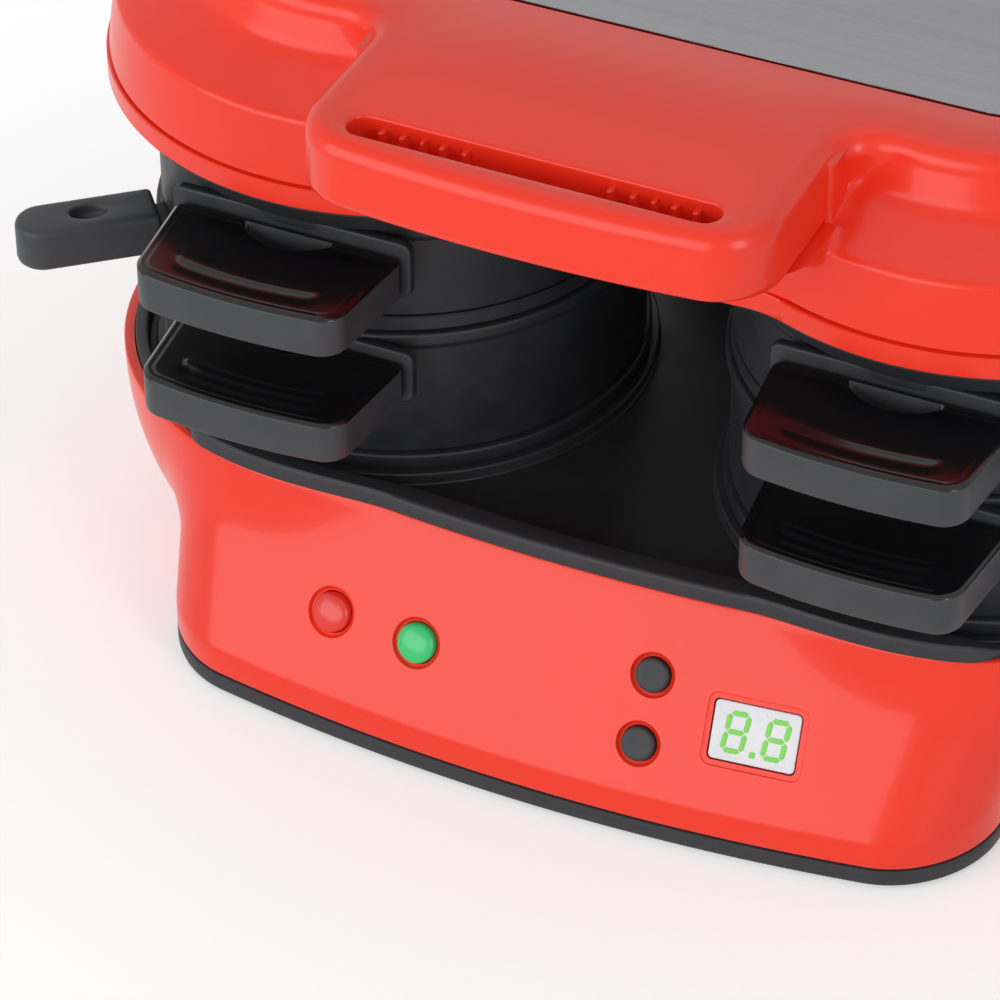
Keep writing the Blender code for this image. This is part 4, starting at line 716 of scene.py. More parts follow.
def line_normals(line: Array) -> Array:
    """Outward normals of an anticlockwise closed line: the chord's direction turned a quarter clockwise."""
    chord = np.roll(line, -1, axis=0) - np.roll(line, 1, axis=0)
    normal = np.column_stack([chord[:, 1], -chord[:, 0]])
    return normal / np.linalg.norm(normal, axis=-1, keepdims=True)


def turned(shell: Shell, profile: Sequence[tuple[float, float]], centre: tuple[float, float] = (0.0, 0.0),
           count: int = 160) -> None:
    """Sweep a closed profile of radius and height round an upright axis.

    Formula: x and y are the centre plus the radius times cosine and sine of the turn; z is the height.

    Args:
        shell: shell that the surface is added to.
        profile: radius and height pairs; ends at radius 0 close on the axis.
        centre: place of the axis.
        count: steps round the axis.
    """
    rows = np.array(profile, dtype=float)
    turn = rays(count)
    x = centre[0] + rows[:, [0]] * np.cos(turn)
    y = centre[1] + rows[:, [0]] * np.sin(turn)
    z = np.broadcast_to(rows[:, [1]], x.shape)
    shell.grid(np.stack([x, y, z], axis=-1), loop=bool(rows[0, 0] > 0))


def rounded(profile: Sequence[tuple[float, float, float]], steps: int = 5,
            closed: bool = True) -> list[Place]:
    """Round the corners of a profile.

    Formula: each corner with a radius is replaced by an arc that touches both of its sides.

    Args:
        profile: corners as radius, height and corner radius.
        steps: points in each arc.
        closed: whether the last corner joins the first.

    Returns:
        Radius and height pairs.
    """
    points = np.array([row[:2] for row in profile], dtype=float)
    made: list[tuple[float, float]] = []
    for index, (here, spare) in enumerate(zip(points, (row[2] for row in profile))):
        if spare <= 0 or (not closed and index in (0, len(points) - 1)):
            made.append(tuple(here))
            continue
        before, after = points[index - 1] - here, points[(index + 1) % len(points)] - here
        before_length, after_length = np.linalg.norm(before), np.linalg.norm(after)
        before, after = before / before_length, after / after_length
        half = math.acos(float(np.clip(before @ after, -1, 1))) / 2
        if half > math.radians(88):
            made.append(tuple(here))
            continue
        reach = min(spare / math.tan(half), 0.48 * before_length, 0.48 * after_length)
        radius = reach * math.tan(half)
        middle = here + (before + after) / np.linalg.norm(before + after) * radius / math.sin(half)
        start, end = here + before * reach - middle, here + after * reach - middle
        first = math.atan2(start[1], start[0])
        sweep = (math.atan2(end[1], end[0]) - first + math.pi) % (2 * math.pi) - math.pi
        for share in np.linspace(0, 1, steps):
            turn = first + sweep * share
            made.append((middle[0] + radius * math.cos(turn), middle[1] + radius * math.sin(turn)))
    return made


def slab(shell: Shell, line: Array, low: float, high: float, bevel: float, axis: str = "z") -> None:
    """Add a plate with rounded edges, cut along a closed line.

    Formula: the line is moved inwards along its normals by one minus the sine of a quarter turn while the
    height moves by one minus its cosine, at both faces.

    Args:
        shell: shell that the plate is added to.
        line: anticlockwise outline in the plate's own plane.
        low: level of the lower face.
        high: level of the upper face.
        bevel: radius of the edges.
        axis: "z" for a flat plate, "x" for an outline of depth and height, "y" for one of place across and
            height.
    """
    normal = line_normals(line)
    turn = np.linspace(0.0, math.pi / 2, 4)
    levels = [(low + bevel * (1 - math.sin(math.pi / 2 - step)), bevel * (1 - math.sin(step)))
              for step in turn]
    levels += [(low + high - level, inset) for level, inset in reversed(levels)]
    rows = []
    for level, inset in levels:
        flat = line - normal * inset
        other = np.full(len(flat), level)
        columns = {"z": [flat, other], "x": [other, flat], "y": [flat[:, 0], other, flat[:, 1]]}
        rows.append(np.column_stack(columns[axis]))
    first, last = shell.grid(np.array(rows))
    width = len(line)
    shell.cap([range(first, first + width)])
    shell.cap([range(last, last + width)])


def bar(shell: Shell, profile: Sequence[Place], place: Place, count: int = 48) -> None:
    """Sweep a profile of radius and place across round an axis along X.

    Formula: depth and height are the place plus the radius times cosine and sine of the turn.

    Args:
        shell: shell that the surface is added to.
        profile: radius and place across, closed on the axis at both ends.
        place: depth and height of the axis.
        count: steps round the axis.
    """
    rows = np.array(profile, dtype=float)
    turn = rays(count)
    y = place[0] + rows[:, [0]] * np.cos(turn)
    z = place[1] + rows[:, [0]] * np.sin(turn)
    x = np.broadcast_to(rows[:, [1]], y.shape)
    shell.grid(np.stack([x, y, z], axis=-1))


def dress(node: str, finish: Finish) -> None:
    """Give a frame node that stays as it is a finish."""
    item = bpy.data.objects[node]
    for holder in item.material_slots:
        holder.material = finish.material()
    if not item.material_slots:
        item.data.materials.append(finish.material())


def carve(item: bpy.types.Object, tools: Sequence[Shell]) -> None:
    """Cut shells out of an object with exact booleans and keep the result as its mesh."""
    for number, tool in enumerate(tools):
        cutter = bpy.data.objects.new(f"cutter_{number}", tool.mesh(f"cutter_{number}"))
        bpy.context.collection.objects.link(cutter)
        change = item.modifiers.new("cut", "BOOLEAN")
        change.operation, change.solver, change.object = "DIFFERENCE", "EXACT", cutter
        bpy.context.view_layer.update()
        shaped = bpy.data.meshes.new_from_object(item.evaluated_get(bpy.context.evaluated_depsgraph_get()))
        item.modifiers.clear()
        old, item.data = item.data, shaped
        shaped.name = item.name
        bpy.data.meshes.remove(old)
        bpy.data.objects.remove(cutter)


@dataclass
class Housing:
    """The red housing of the base, with the controls on its slanted face."""

    bottom: float = 6.3
    band_top: float = 13.0
    top: float = 57.5
    wall: float = 2.6
    foot: tuple[float, float, float] = (109.5, -98.6, 11.8)
    head: tuple[float, float, float] = (117.0, -74.4, 13.6)
    corner: float = 24.0
    rear: float = 98.0
    rear_corner: float = 16.0
    drum_radius: float = 72.3
    fillet: float = 7.0
    control_z: float = 31.6
    rays: int = 900

    def share(self, z: float | Array) -> float | Array:
        """Share of the slanted face's height below z, eased over the crease at the band."""
        raw = (z - self.band_top) / (self.top - self.band_top)
        return np.where(raw > 0.03, raw, 0.03 * np.exp(np.clip(raw / 0.03 - 1, -40, 0)))

    def drum(self, z: float | Array) -> float | Array:
        """Drum radius at a height: a power curve that draws in to the floor."""
        return self.drum_radius - 14.0 * (np.clip(self.top - z, 0, None) / 48.0) ** 2.2

    def field(self, z: Array, radius: Array, inset: Array, plain: bool = False) -> Field:
        """Plane field of the housing at levels.

        Formula: console with a bowed front joined to two drums by the fillet, moved inwards by the inset.

        Args:
            z: heights, one row each.
            radius: drum radius at each height.
            inset: wall inset at each height.
            plain: whether the share of the slant isn't eased at the crease.

        Returns:
            A field whose first axis is the level.
        """
        share = np.clip((z - self.band_top) / (self.top - self.band_top), 0, None) if plain else self.share(z)
        half, front, bow = (a + share * (b - a) for a, b in zip(self.foot, self.head))

        def shape(x: Array, y: Array) -> Array:
            """The field at places x, y."""
            console = bowed_field(x, y, half, front, bow, self.rear, self.corner, self.rear_corner)
            drums = np.minimum(disc_field(x, y, PITCH / 2, radius), disc_field(x, y, -PITCH / 2, radius))
            return round_union(console, drums, self.fillet) + inset
        return shape

    def stack(self, rows: Array, angles: Array) -> Array:
        """Trace levels of height, drum radius and inset."""
        z, radius, inset = (rows[:, [i]] for i in range(3))
        flat = trace(self.field(z, radius, inset), np.tile(angles, (len(rows), 1)))
        return np.concatenate([flat, np.broadcast_to(z, flat.shape[:2])[..., None]], axis=-1)

    def angles(self) -> Array:
        """Even ray angles for the housing's outline at its top."""
        key = np.array([[self.top]])
        shape = self.field(key, np.array([[self.drum_radius]]), np.zeros((1, 1)))
        return even_rays(lambda x, y: shape(x[None, :], y[None, :])[0], self.rays)

    def face_frame(self, x: float, z: float) -> Matrix:
        """Frame on the slanted face.

        Formula: the surface normal leans back by the face's slant and turns with the bow; local X runs along
        the face and local Z points out of it.

        Args:
            x: place across.
            z: height.

        Returns:
            A matrix in millimetres.
        """
        share = (z - self.band_top) / (self.top - self.band_top)
        half, _, bow = (a + share * (b - a) for a, b in zip(self.foot, self.head))

        def depth(size: tuple[float, float, float]) -> float:
            """Depth of the bowed front at x."""
            radius = (size[0] ** 2 + size[2] ** 2) / (2 * size[2])
            return size[1] + radius - math.sqrt(radius ** 2 - x ** 2)
        low, high = depth(self.foot), depth(self.head)
        turn = math.asin(x / ((half ** 2 + bow ** 2) / (2 * bow)))
        lean = math.atan2(high - low, self.top - self.band_top)
        along = Vector((math.cos(turn), math.sin(turn), 0.0))
        normal = Vector((math.sin(turn) * math.cos(lean), -math.cos(turn) * math.cos(lean), math.sin(lean)))
        placed = Matrix((along, normal.cross(along), normal)).transposed().to_4x4()
        placed.translation = Vector((x, low + share * (high - low), z))
        return placed

    def on_face(self, shell: Shell, x: float, z: float) -> Shell:
        """Move a shell made round the local origin onto the slanted face."""
        placed = np.array(self.face_frame(x, z))
        made = Shell(faces=shell.faces, count=shell.count)
        points = np.concatenate(shell.points)
        made.points.append(points @ placed[:3, :3].T + placed[:3, 3])
        return made

    def moulding(self) -> bpy.types.Object:
        """Build the housing as one closed shell, open at the top and underneath, and cut its controls."""
        rows = [(self.bottom, 20.0, 1.0), (self.bottom + 0.3, 20.0, 0.3), (self.bottom + 1.0, 20.0, 0.0),
                (7.4, 20.0, 0.0), (7.5, 50.0, 0.0)]
        for turn in np.linspace(0.0, math.pi / 2, 9)[1:]:
            z = 7.5 + 4.5 * (1 - math.cos(turn))
            rows.append((z, float(self.drum(12.0)) - 4.5 * (1 - math.sin(turn)) - 0.3 * (12 - z) / 4.5, 0.0))
        for z in (12.6, 13.0, 13.4, 13.9, 14.5, 15.3, 16.4, 18.0, *np.linspace(20.0, 56.9, 20)):
            rows.append((float(z), float(self.drum(z)), 0.0))
        rows += [(57.3, float(self.drum(57.3)), 0.15), (57.5, self.drum_radius, 0.5),
                 (57.5, self.drum_radius, self.wall), (50.0, float(self.drum(50.0)), self.wall)]
        for z in (40.0, 30.0, 20.0, 14.0, 10.4):
            rows.append((z, float(self.drum(z)), self.wall))
        rows += [(10.3, 20.0, self.wall), (self.bottom, 20.0, self.wall)]
        shell = Shell()
        shell.grid(self.stack(np.array(rows), self.angles()), loop=True)
        item = piece("housing_moulding", shell, "base", RED, ["base_shell"], sharp=40.0)
        carve(item, self.cutters())
        return settle(item, "base", RED, sharp=40.0)

    def cutters(self) -> list[Shell]:
        """Cutters for the two lights, the two buttons, the display and the cord gland."""
        tools = []
        for x, z, radius in ((-57.2, self.control_z, 5.0), (-33.2, self.control_z, 5.0), (27.3, 39.5, 4.2),
                             (27.3, 24.5, 4.2)):
            tool = Shell()
            turned(tool, [(0.0, -8.0), (radius + 0.25, -8.0), (radius + 0.25, -1.0), (radius + 0.6, -0.9),
                          (radius + 0.85, -0.8), (radius + 1.05, -0.6), (radius + 1.2, -0.35),
                          (radius + 2.3, 1.2), (0.0, 1.2)], count=64)
            tools.append(self.on_face(tool, x, z))
        tool = Shell()
        slab(tool, rounded_line(10.95, 7.55, 1.4), -8.0, 4.0, 0.05)
        tools.append(self.on_face(tool, 54.5, self.control_z))
        tool = Shell()
        slab(tool, rounded_line(12.4, 9.0, 2.4), -0.35, 5.0, 0.3)
        tools.append(self.on_face(tool, 54.5, self.control_z))
        tool = Shell()
        turn = rays(48)
        circle = np.column_stack([62.0 + 7.3 * np.cos(turn), 24.0 + 7.3 * np.sin(turn)])
        rows = np.stack([np.column_stack([circle[:, 0], np.full(48, y), circle[:, 1]])
                         for y in (92.0, 104.0)])
        first, last = tool.grid(rows)
        tool.cap([range(first, first + 48)])
        tool.cap([range(last, last + 48)])
        tools.append(tool)
        return tools

    def controls(self) -> None:
        """Build the lights, the buttons and the display on the slanted face."""
        for name, x, finish in (("power_light", -57.2, RED_LENS), ("ready_light", -33.2, GREEN_LENS)):
            shell = Shell()
            dome = [(5.0 * math.cos(turn), 1.8 * math.sin(turn)) for turn in np.linspace(0, math.pi / 2, 12)]
            turned(shell, [(0.0, -4.6), (3.0, -4.6), (3.0, -2.6), (5.0, -2.6)] + dome, count=64)
            piece(f"{name}_lens", self.on_face(shell, x, self.control_z), "base", finish, [name])
        for name, z in (("timer_up", 39.5), ("timer_down", 24.5)):
            shell = Shell()
            turned(shell, [(0.0, -7.0), (1.8, -7.0), (1.8, -4.2), (5.4, -4.2), (5.4, -3.2), (4.2, -3.2),
                           (4.2, 0.3), (4.1, 0.6), (3.8, 0.82), (3.3, 0.9), (1.8, 0.72), (0.0, 0.62)], count=64)
            piece(f"{name}_cap", self.on_face(shell, 27.3, z), name, HOUSING_BLACK, [f"{name}_button"])
        shell = Shell()
        slab(shell, rounded_line(10.6, 7.2, 1.2), -4.8, -0.5, 0.3)
        piece("display_glass", self.on_face(shell, 54.5, self.control_z), "base", DISPLAY, ["display_module"])
        shell = Shell()
        for middle in (-4.7, 5.2):
            digit(shell, middle, 0.0)
        slab(shell, rounded_line(0.75, 0.75, 0.35) + np.array([0.0, -4.6]), -0.55, -0.38, 0.04)
        piece("display_digits", self.on_face(shell, 54.5, self.control_z), "base", DIGIT)


def rounded_line(half: float, tall: float, corner: float, steps: int = 7) -> Array:
    """Closed line of a rounded rectangle, anticlockwise, with even points on its sides."""
    parts = []
    for place, start in (((half, -tall), -90), ((half, tall), 0), ((-half, tall), 90), ((-half, -tall), 180)):
        middle = np.array(place) - np.sign(place) * corner
        turn = np.radians(start + np.linspace(0, 90, steps))
        parts.append(middle + corner * np.column_stack([np.cos(turn), np.sin(turn)]))
    return np.concatenate(parts)


def digit(shell: Shell, x: float, y: float) -> None:
    """Add a seven-bar eight to a shell.

    Formula: each bar is a long hexagon, laid across at three levels and upright at four places.

    Args:
        shell: shell that the bars are added to.
        x: middle across.
        y: middle upwards.
    """
    lean = 0.1
    for level in (-4.6, 0.0, 4.6):
        bar_line = np.array([(-2.1, 0.0), (-1.45, -0.65), (1.45, -0.65), (2.1, 0.0), (1.45, 0.65),
                             (-1.45, 0.65)])
        place = bar_line + np.array([x, y + level])
        place[:, 0] += lean * place[:, 1]
        slab(shell, place, -0.55, -0.38, 0.04)
    for across in (-2.3, 2.3):
        for level in (-2.3, 2.3):
            bar_line = np.array([(0.0, -2.1), (0.65, -1.45), (0.65, 1.45), (0.0, 2.1), (-0.65, 1.45),
                                 (-0.65, -1.45)])
            place = bar_line + np.array([x + across, y + level])
            place[:, 0] += lean * place[:, 1]
            slab(shell, place, -0.55, -0.38, 0.04)


@dataclass
class Tray:
    """Black tray with its front rim, plate seats, the cover underneath and the fixed small parts."""

    housing: Housing
    floor: float = 54.0

    def rim_share(self, points: Array) -> Array:
        """Share of the front rim at outline points: one in front, none past the drums' fronts."""
        raw = np.clip((113.0 - np.abs(points[:, 0])) / 14.0, 0, 1)
        return np.where(points[:, 1] < 0, raw * raw * (3 - 2 * raw), 0.0)

    def moulding(self) -> bpy.types.Object:
        """Build the tray.

        Formula: levels of the housing's top outline; both the level and the inset of each point are blended
        between the plain wall and the raised rim by the rim share.

        Returns:
            The object.
        """
        angles = self.housing.angles()
        count = len(angles)
        key = np.array([[57.5]])
        base = self.housing.field(key, np.array([[self.housing.drum_radius]]), np.zeros((1, 1)))
        outline = trace(lambda x, y: base(x[None, :], y[None, :])[0], angles)
        share = self.rim_share(outline)
        specs = [(2.9, 50.0, 2.9, 50.0), (2.9, 56.5, 2.9, 56.5), (2.9, 57.7, -0.7, 57.8), (2.9, 57.8, -1.0, 58.1),
                 (2.9, 58.2, -1.0, 61.3), (2.95, 58.6, -0.75, 61.95), (3.2, 58.9, -0.1, 62.4), (3.5, 59.0, 0.6, 62.4),
                 (5.4, 59.0, 4.7, 62.4), (5.9, 58.8, 5.3, 62.2), (6.2, 58.4, 5.8, 61.6), (6.3, 57.6, 6.0, 60.8),
                 (6.3, 55.2, 6.3, 55.2), (6.6, 54.4, 6.6, 54.4), (7.4, 54.0, 7.4, 54.0)]
        rows = []
        for plain_inset, plain_z, rim_inset, rim_z in specs:
            inset = plain_inset + share * (rim_inset - plain_inset)
            height = plain_z + share * (rim_z - plain_z)
            moved = self.housing.field(key, np.array([[self.housing.drum_radius]]), inset[None, :])
            flat = trace(lambda x, y, moved=moved: moved(x[None, :], y[None, :])[0], angles)
            rows.append(np.column_stack([flat, height]))
        shell = Shell()
        first, last = shell.grid(np.array(rows))
        deck = [range(last, last + count)]
        under = [range(first, first + count)]
        turn = rays(180)
        for side in Side:
            profile = [(64.4, 54.0), (64.1, 54.3), (64.0, 56.6), (63.6, 57.0), (56.9, 57.0), (56.5, 56.6), (56.5, 50.0)]
            ring = np.array([np.column_stack([side.x + r * np.cos(turn), r * np.sin(turn), np.full(180, z)])
                             for r, z in profile])
            low, high = shell.grid(ring)
            deck.append(range(low, low + 180))
            under.append(range(high, high + 180))
        shell.cap(deck)
        shell.cap(under)
        return piece("tray_moulding", shell, "base", HOUSING_BLACK, ["base_tray"], sharp=35.0)

    def cover(self) -> bpy.types.Object:
        """Build the cover underneath.

        Formula: levels of the housing's foot outline with rounded edges, and circles for the foot recesses
        and the screw holes.

        Returns:
            The object.
        """
        angles = self.housing.angles()
        count = len(angles)
        specs = np.array([(1.2, 1.0), (1.3, 0.5), (1.6, 0.15), (2.1, 0.0), (5.6, 0.0), (5.85, 0.1), (6.0, 0.35)])
        z, inset = specs[:, [0]], specs[:, [1]]
        shape = self.housing.field(np.full_like(z, 6.3), np.full_like(z, 20.0), inset, plain=True)
        flat = trace(shape, np.tile(angles, (len(z), 1)))
        shell = Shell()
        first, last = shell.grid(np.concatenate([flat, np.broadcast_to(z, flat.shape[:2])[..., None]], axis=-1))
        under, over = [range(first, first + count)], [range(last, last + count)]
        turn = rays(48)
        for side in Side:
            for y in (-68.6, 68.0):
                rows = np.array([np.column_stack([side.value * 79.5 + 8.3 * np.cos(turn), y + 8.3 * np.sin(turn),
                                                  np.full(48, level)]) for level in (1.2, 2.2)])
                low, high = shell.grid(rows)
                under.append(range(low, low + 48))
                shell.cap([range(high, high + 48)])
            for y in (-60.0, 74.0):
                rows = np.array([np.column_stack([side.value * 96.0 + 2.0 * np.cos(turn), y + 2.0 * np.sin(turn),
                                                  np.full(48, level)]) for level in (1.2, 6.0)])
                low, high = shell.grid(rows)
                under.append(range(low, low + 48))
                over.append(range(high, high + 48))
        shell.cap(under)
        shell.cap(over)
        return piece("cover_plate", shell, "base", HOUSING_BLACK, ["bottom_cover"], sharp=35.0)

    def hinge(self) -> None:
        """Build the column, the posts and the rod that the lid and the rings turn on."""
        profile = rounded([(67.0, 54.3, 0.0), (88.0, 54.3, 0.0), (88.0, 59.3, 1.0), (92.5, 63.3, 3.0),
                           (92.5, 129.4, 5.0), (67.0, 129.4, 5.0)], 6)
        shell = Shell()
        slab(shell, resample(np.array(profile), 220), -32.0, 32.0, 1.6, "x")
        piece("hinge_column_cover", shell, "base", HOUSING_BLACK, ["hinge_column"])
        for side in Side:
            turn = rays(72)
            knuckle = np.column_stack([HINGE[0] + 6.5 * np.cos(turn), HINGE[1] + 6.5 * np.sin(turn)])
            line = resample(convex_hull(np.concatenate([knuckle, [(73.0, 54.3), (87.0, 54.3)]])), 140)
            edges = sorted((side.value * 100.0, side.value * 106.0))
            shell = Shell()
            slab(shell, line, edges[0], edges[1], 0.8, "x")
            piece(f"hinge_post_{side.word}_cover", shell, "base", HOUSING_BLACK, [f"hinge_post_{side.word}"])
        shell = Shell()
        bar(shell, [(0.0, -109.0), (2.4, -109.0), (3.0, -108.4), (3.0, 108.4), (2.4, 109.0), (0.0, 109.0)], HINGE)
        piece("hinge_rod_bar", shell, "base", PLAIN_STEEL, ["hinge_rod"])

    def plates(self) -> None:
        """Build the two lower heated plates."""
        for side in Side:
            profile = rounded([(0.0, 57.3, 0), (62.0, 57.3, 0.3), (62.0, 61.3, 0.8), (57.0, 61.3, 0.6),
                               (54.5, 60.3, 0.8), (0.0, 60.3, 0)], 4, closed=False)
            shell = Shell()
            turned(shell, [(0.0, 57.3)] + [row for row in profile[1:-1]] + [(0.0, 60.3)], (side.x, 0.0), 180)
            skirt = [(55.9, 57.6), (52.9, 57.6), (52.9, 51.3), (55.9, 51.3)]
            turned(shell, skirt, (side.x, 0.0), 120)
            piece(f"lower_plate_{side.word}_disc", shell, "base", COATING, [f"lower_plate_{side.word}"])


@dataclass
class RingUnit:
    """A ring of one pocket with its handle."""

    side: Side
    level: str
    bottom: float
    height: float
    handle_top: float
    arm_offset: float
    arm_root: list[tuple[float, float]]
    inner: float = 56.0
    outer: float = 60.6
    lip: float = 62.2

    @property
    def body(self) -> str:
        """Body that the ring rides on."""
        return f"{self.level}_ring_unit_{self.side.word}"

    def ring(self) -> bpy.types.Object:
        """Build the ring: turned band with its lip, handle bracket and two hinge arms."""
        top = self.bottom + self.height
        profile = rounded([(self.inner, self.bottom, 0.5), (self.outer, self.bottom, 0.5),
                           (self.outer, top - 5.2, 1.2), (self.lip, top - 3.2, 1.0), (self.lip, top, 0.9),
                           (self.inner, top, 0.9)], 5)
        shell = Shell()
        turned(shell, profile, (self.side.x, 0.0), 200)
        low, high = self.handle_top - 12.4, top - 0.9
        line = rounded_line(31.5, (high - low) / 2, 2.6) + np.array([self.side.x, (low + high) / 2])
        slab(shell, line, -61.8, -58.9, 0.7, "y")
        block = rounded_line(23.0, 4.6, 0.8) + np.array([self.side.x, -55.4])
        slab(shell, block, low + 1.0, high - 2.0, 0.6)
        for sign in (-1, 1):
            centre = self.side.x + sign * (self.arm_offset + 2.5)
            Arm(centre, 5.0, self.arm_root).add_to(shell)
        if self.level == "top":
            self.boss(shell)
        return piece(f"{self.level}_ring_{self.side.word}_band", shell, self.body, COATING,
                     [f"{self.level}_ring_{self.side.word}"], sharp=36.0)

    def boss(self, shell: Shell) -> None:
        """Add the boss that the swinging plate's pin is held in."""
        place = pivot(self.side)
        turn = rays(60)
        circle = np.column_stack([place[0] + 6.0 * np.cos(turn), place[1] + 6.0 * np.sin(turn)])
        inward = np.array([self.side.x, 0.0]) - place
        inward /= np.linalg.norm(inward)
        across = np.array([-inward[1], inward[0]]) * 6.0
        root = np.array([place + inward * 9.5 + across, place + inward * 9.5 - across])
        line = resample(convex_hull(np.concatenate([circle, root])), 90)
        slab(shell, line, 102.35, 112.35, 0.8)

    def top_height(self, x: Array, y: Array) -> Array:
        """Height of the handle's top.

        Formula: flat, plus a bell-shaped ridge along an arc parallel to the front, less a steep-sided round
        scoop at the rear.

        Args:
            x: places across from the pocket's middle.
            y: places in depth.

        Returns:
            Heights.
        """
        arc = -84.6 + x * x / 190.0
        off = np.hypot(y - arc, np.maximum(np.abs(x) - 17.0, 0.0))
        ridge = 0.75 * np.exp(-(off / 1.15) ** 2)
        past = np.maximum(np.abs(x) - 16.0, 0.0)
        trough = 0.45 * np.exp(-((y - arc + 3.0) / 2.0) ** 2) * np.exp(-(past / 2.0) ** 2)
        into = np.clip(15.5 - np.hypot(x - 0.5, (y + 55.0)), 0.0, None)
        scoop = 5.6 * (1.0 - np.exp(-(into / 2.1) ** 2))
        return self.handle_top + ridge - trough - scoop

    def handle(self) -> bpy.types.Object:
        """Build the handle.

        Formula: outlines that widen to the rear, traced round the handle's middle and shrunk towards it; the
        upper edge is a small chamfer, and the top follows its height function.

        Returns:
            The object.
        """
        top, count = self.handle_top - 0.5, 300
        centre = (0.0, -77.5)

        def outline(inset: float) -> Field:
            """Field of the handle's outline, moved inwards."""
            def shape(x: Array, y: Array) -> Array:
                """Bowed front, sides that draw apart and a straight rear."""
                front = np.hypot(x, y + 94.2 - 162.0) - 162.0
                sides = (np.abs(x) - 26.5 - 0.105 * (y + 94.2)) * 0.9945
                return round_common(round_common(front, sides, 5.2), y + 62.1, 2.6) + inset
            return shape
        angles = even_rays(outline(0.0), count, centre)
        low = self.handle_top - 11.6
        specs = [(1.0, low), (0.45, low + 0.1), (0.12, low + 0.45), (0.0, low + 1.0), (0.0, top - 1.15),
                 (0.03, top - 0.95), (0.12, top - 0.8), (0.9, top - 0.15), (1.15, top - 0.02), (1.5, top)]
        rows = [np.column_stack([trace(outline(inset), angles, centre), np.full(count, z)])
                for inset, z in specs]
        start = trace(outline(2.4), angles, centre)
        for share in np.concatenate([[1.0, 0.985], np.linspace(0.965, 0.02, 44)]):
            flat = np.array(centre) + (start - np.array(centre)) * share
            height = np.minimum(self.top_height(flat[:, 0], flat[:, 1]), self.handle_top + 0.3)
            settle_in = 0.5 if share < 0.995 else 0.35
            rows.append(np.column_stack([flat, height - 0.5 + settle_in - 0.5]))
        shell = Shell()
        grid = np.array(rows)
        grid[..., 0] += self.side.x
        first, last = shell.grid(grid)
        shell.cap([range(first, first + count)])
        shell.fan(last, count)
        item = piece(f"{self.level}_ring_handle_{self.side.word}_grip", shell, self.body, HANDLE_BLACK,
                     [f"{self.level}_ring_handle_{self.side.word}"], sharp=42.0)
        # The up-facing tops take the darker copy of the black: painted shade.
        return crown(item, HANDLE_TOP_SHADE, (self.handle_top - 7.0) * METRE)


def pivot(side: Side) -> Array:
    """Place of a swinging plate's pivot, seen from above."""
    turn = math.radians(130)
    return np.array([side.x - side.value * 68.0 * math.cos(turn), 68.0 * math.sin(turn)])


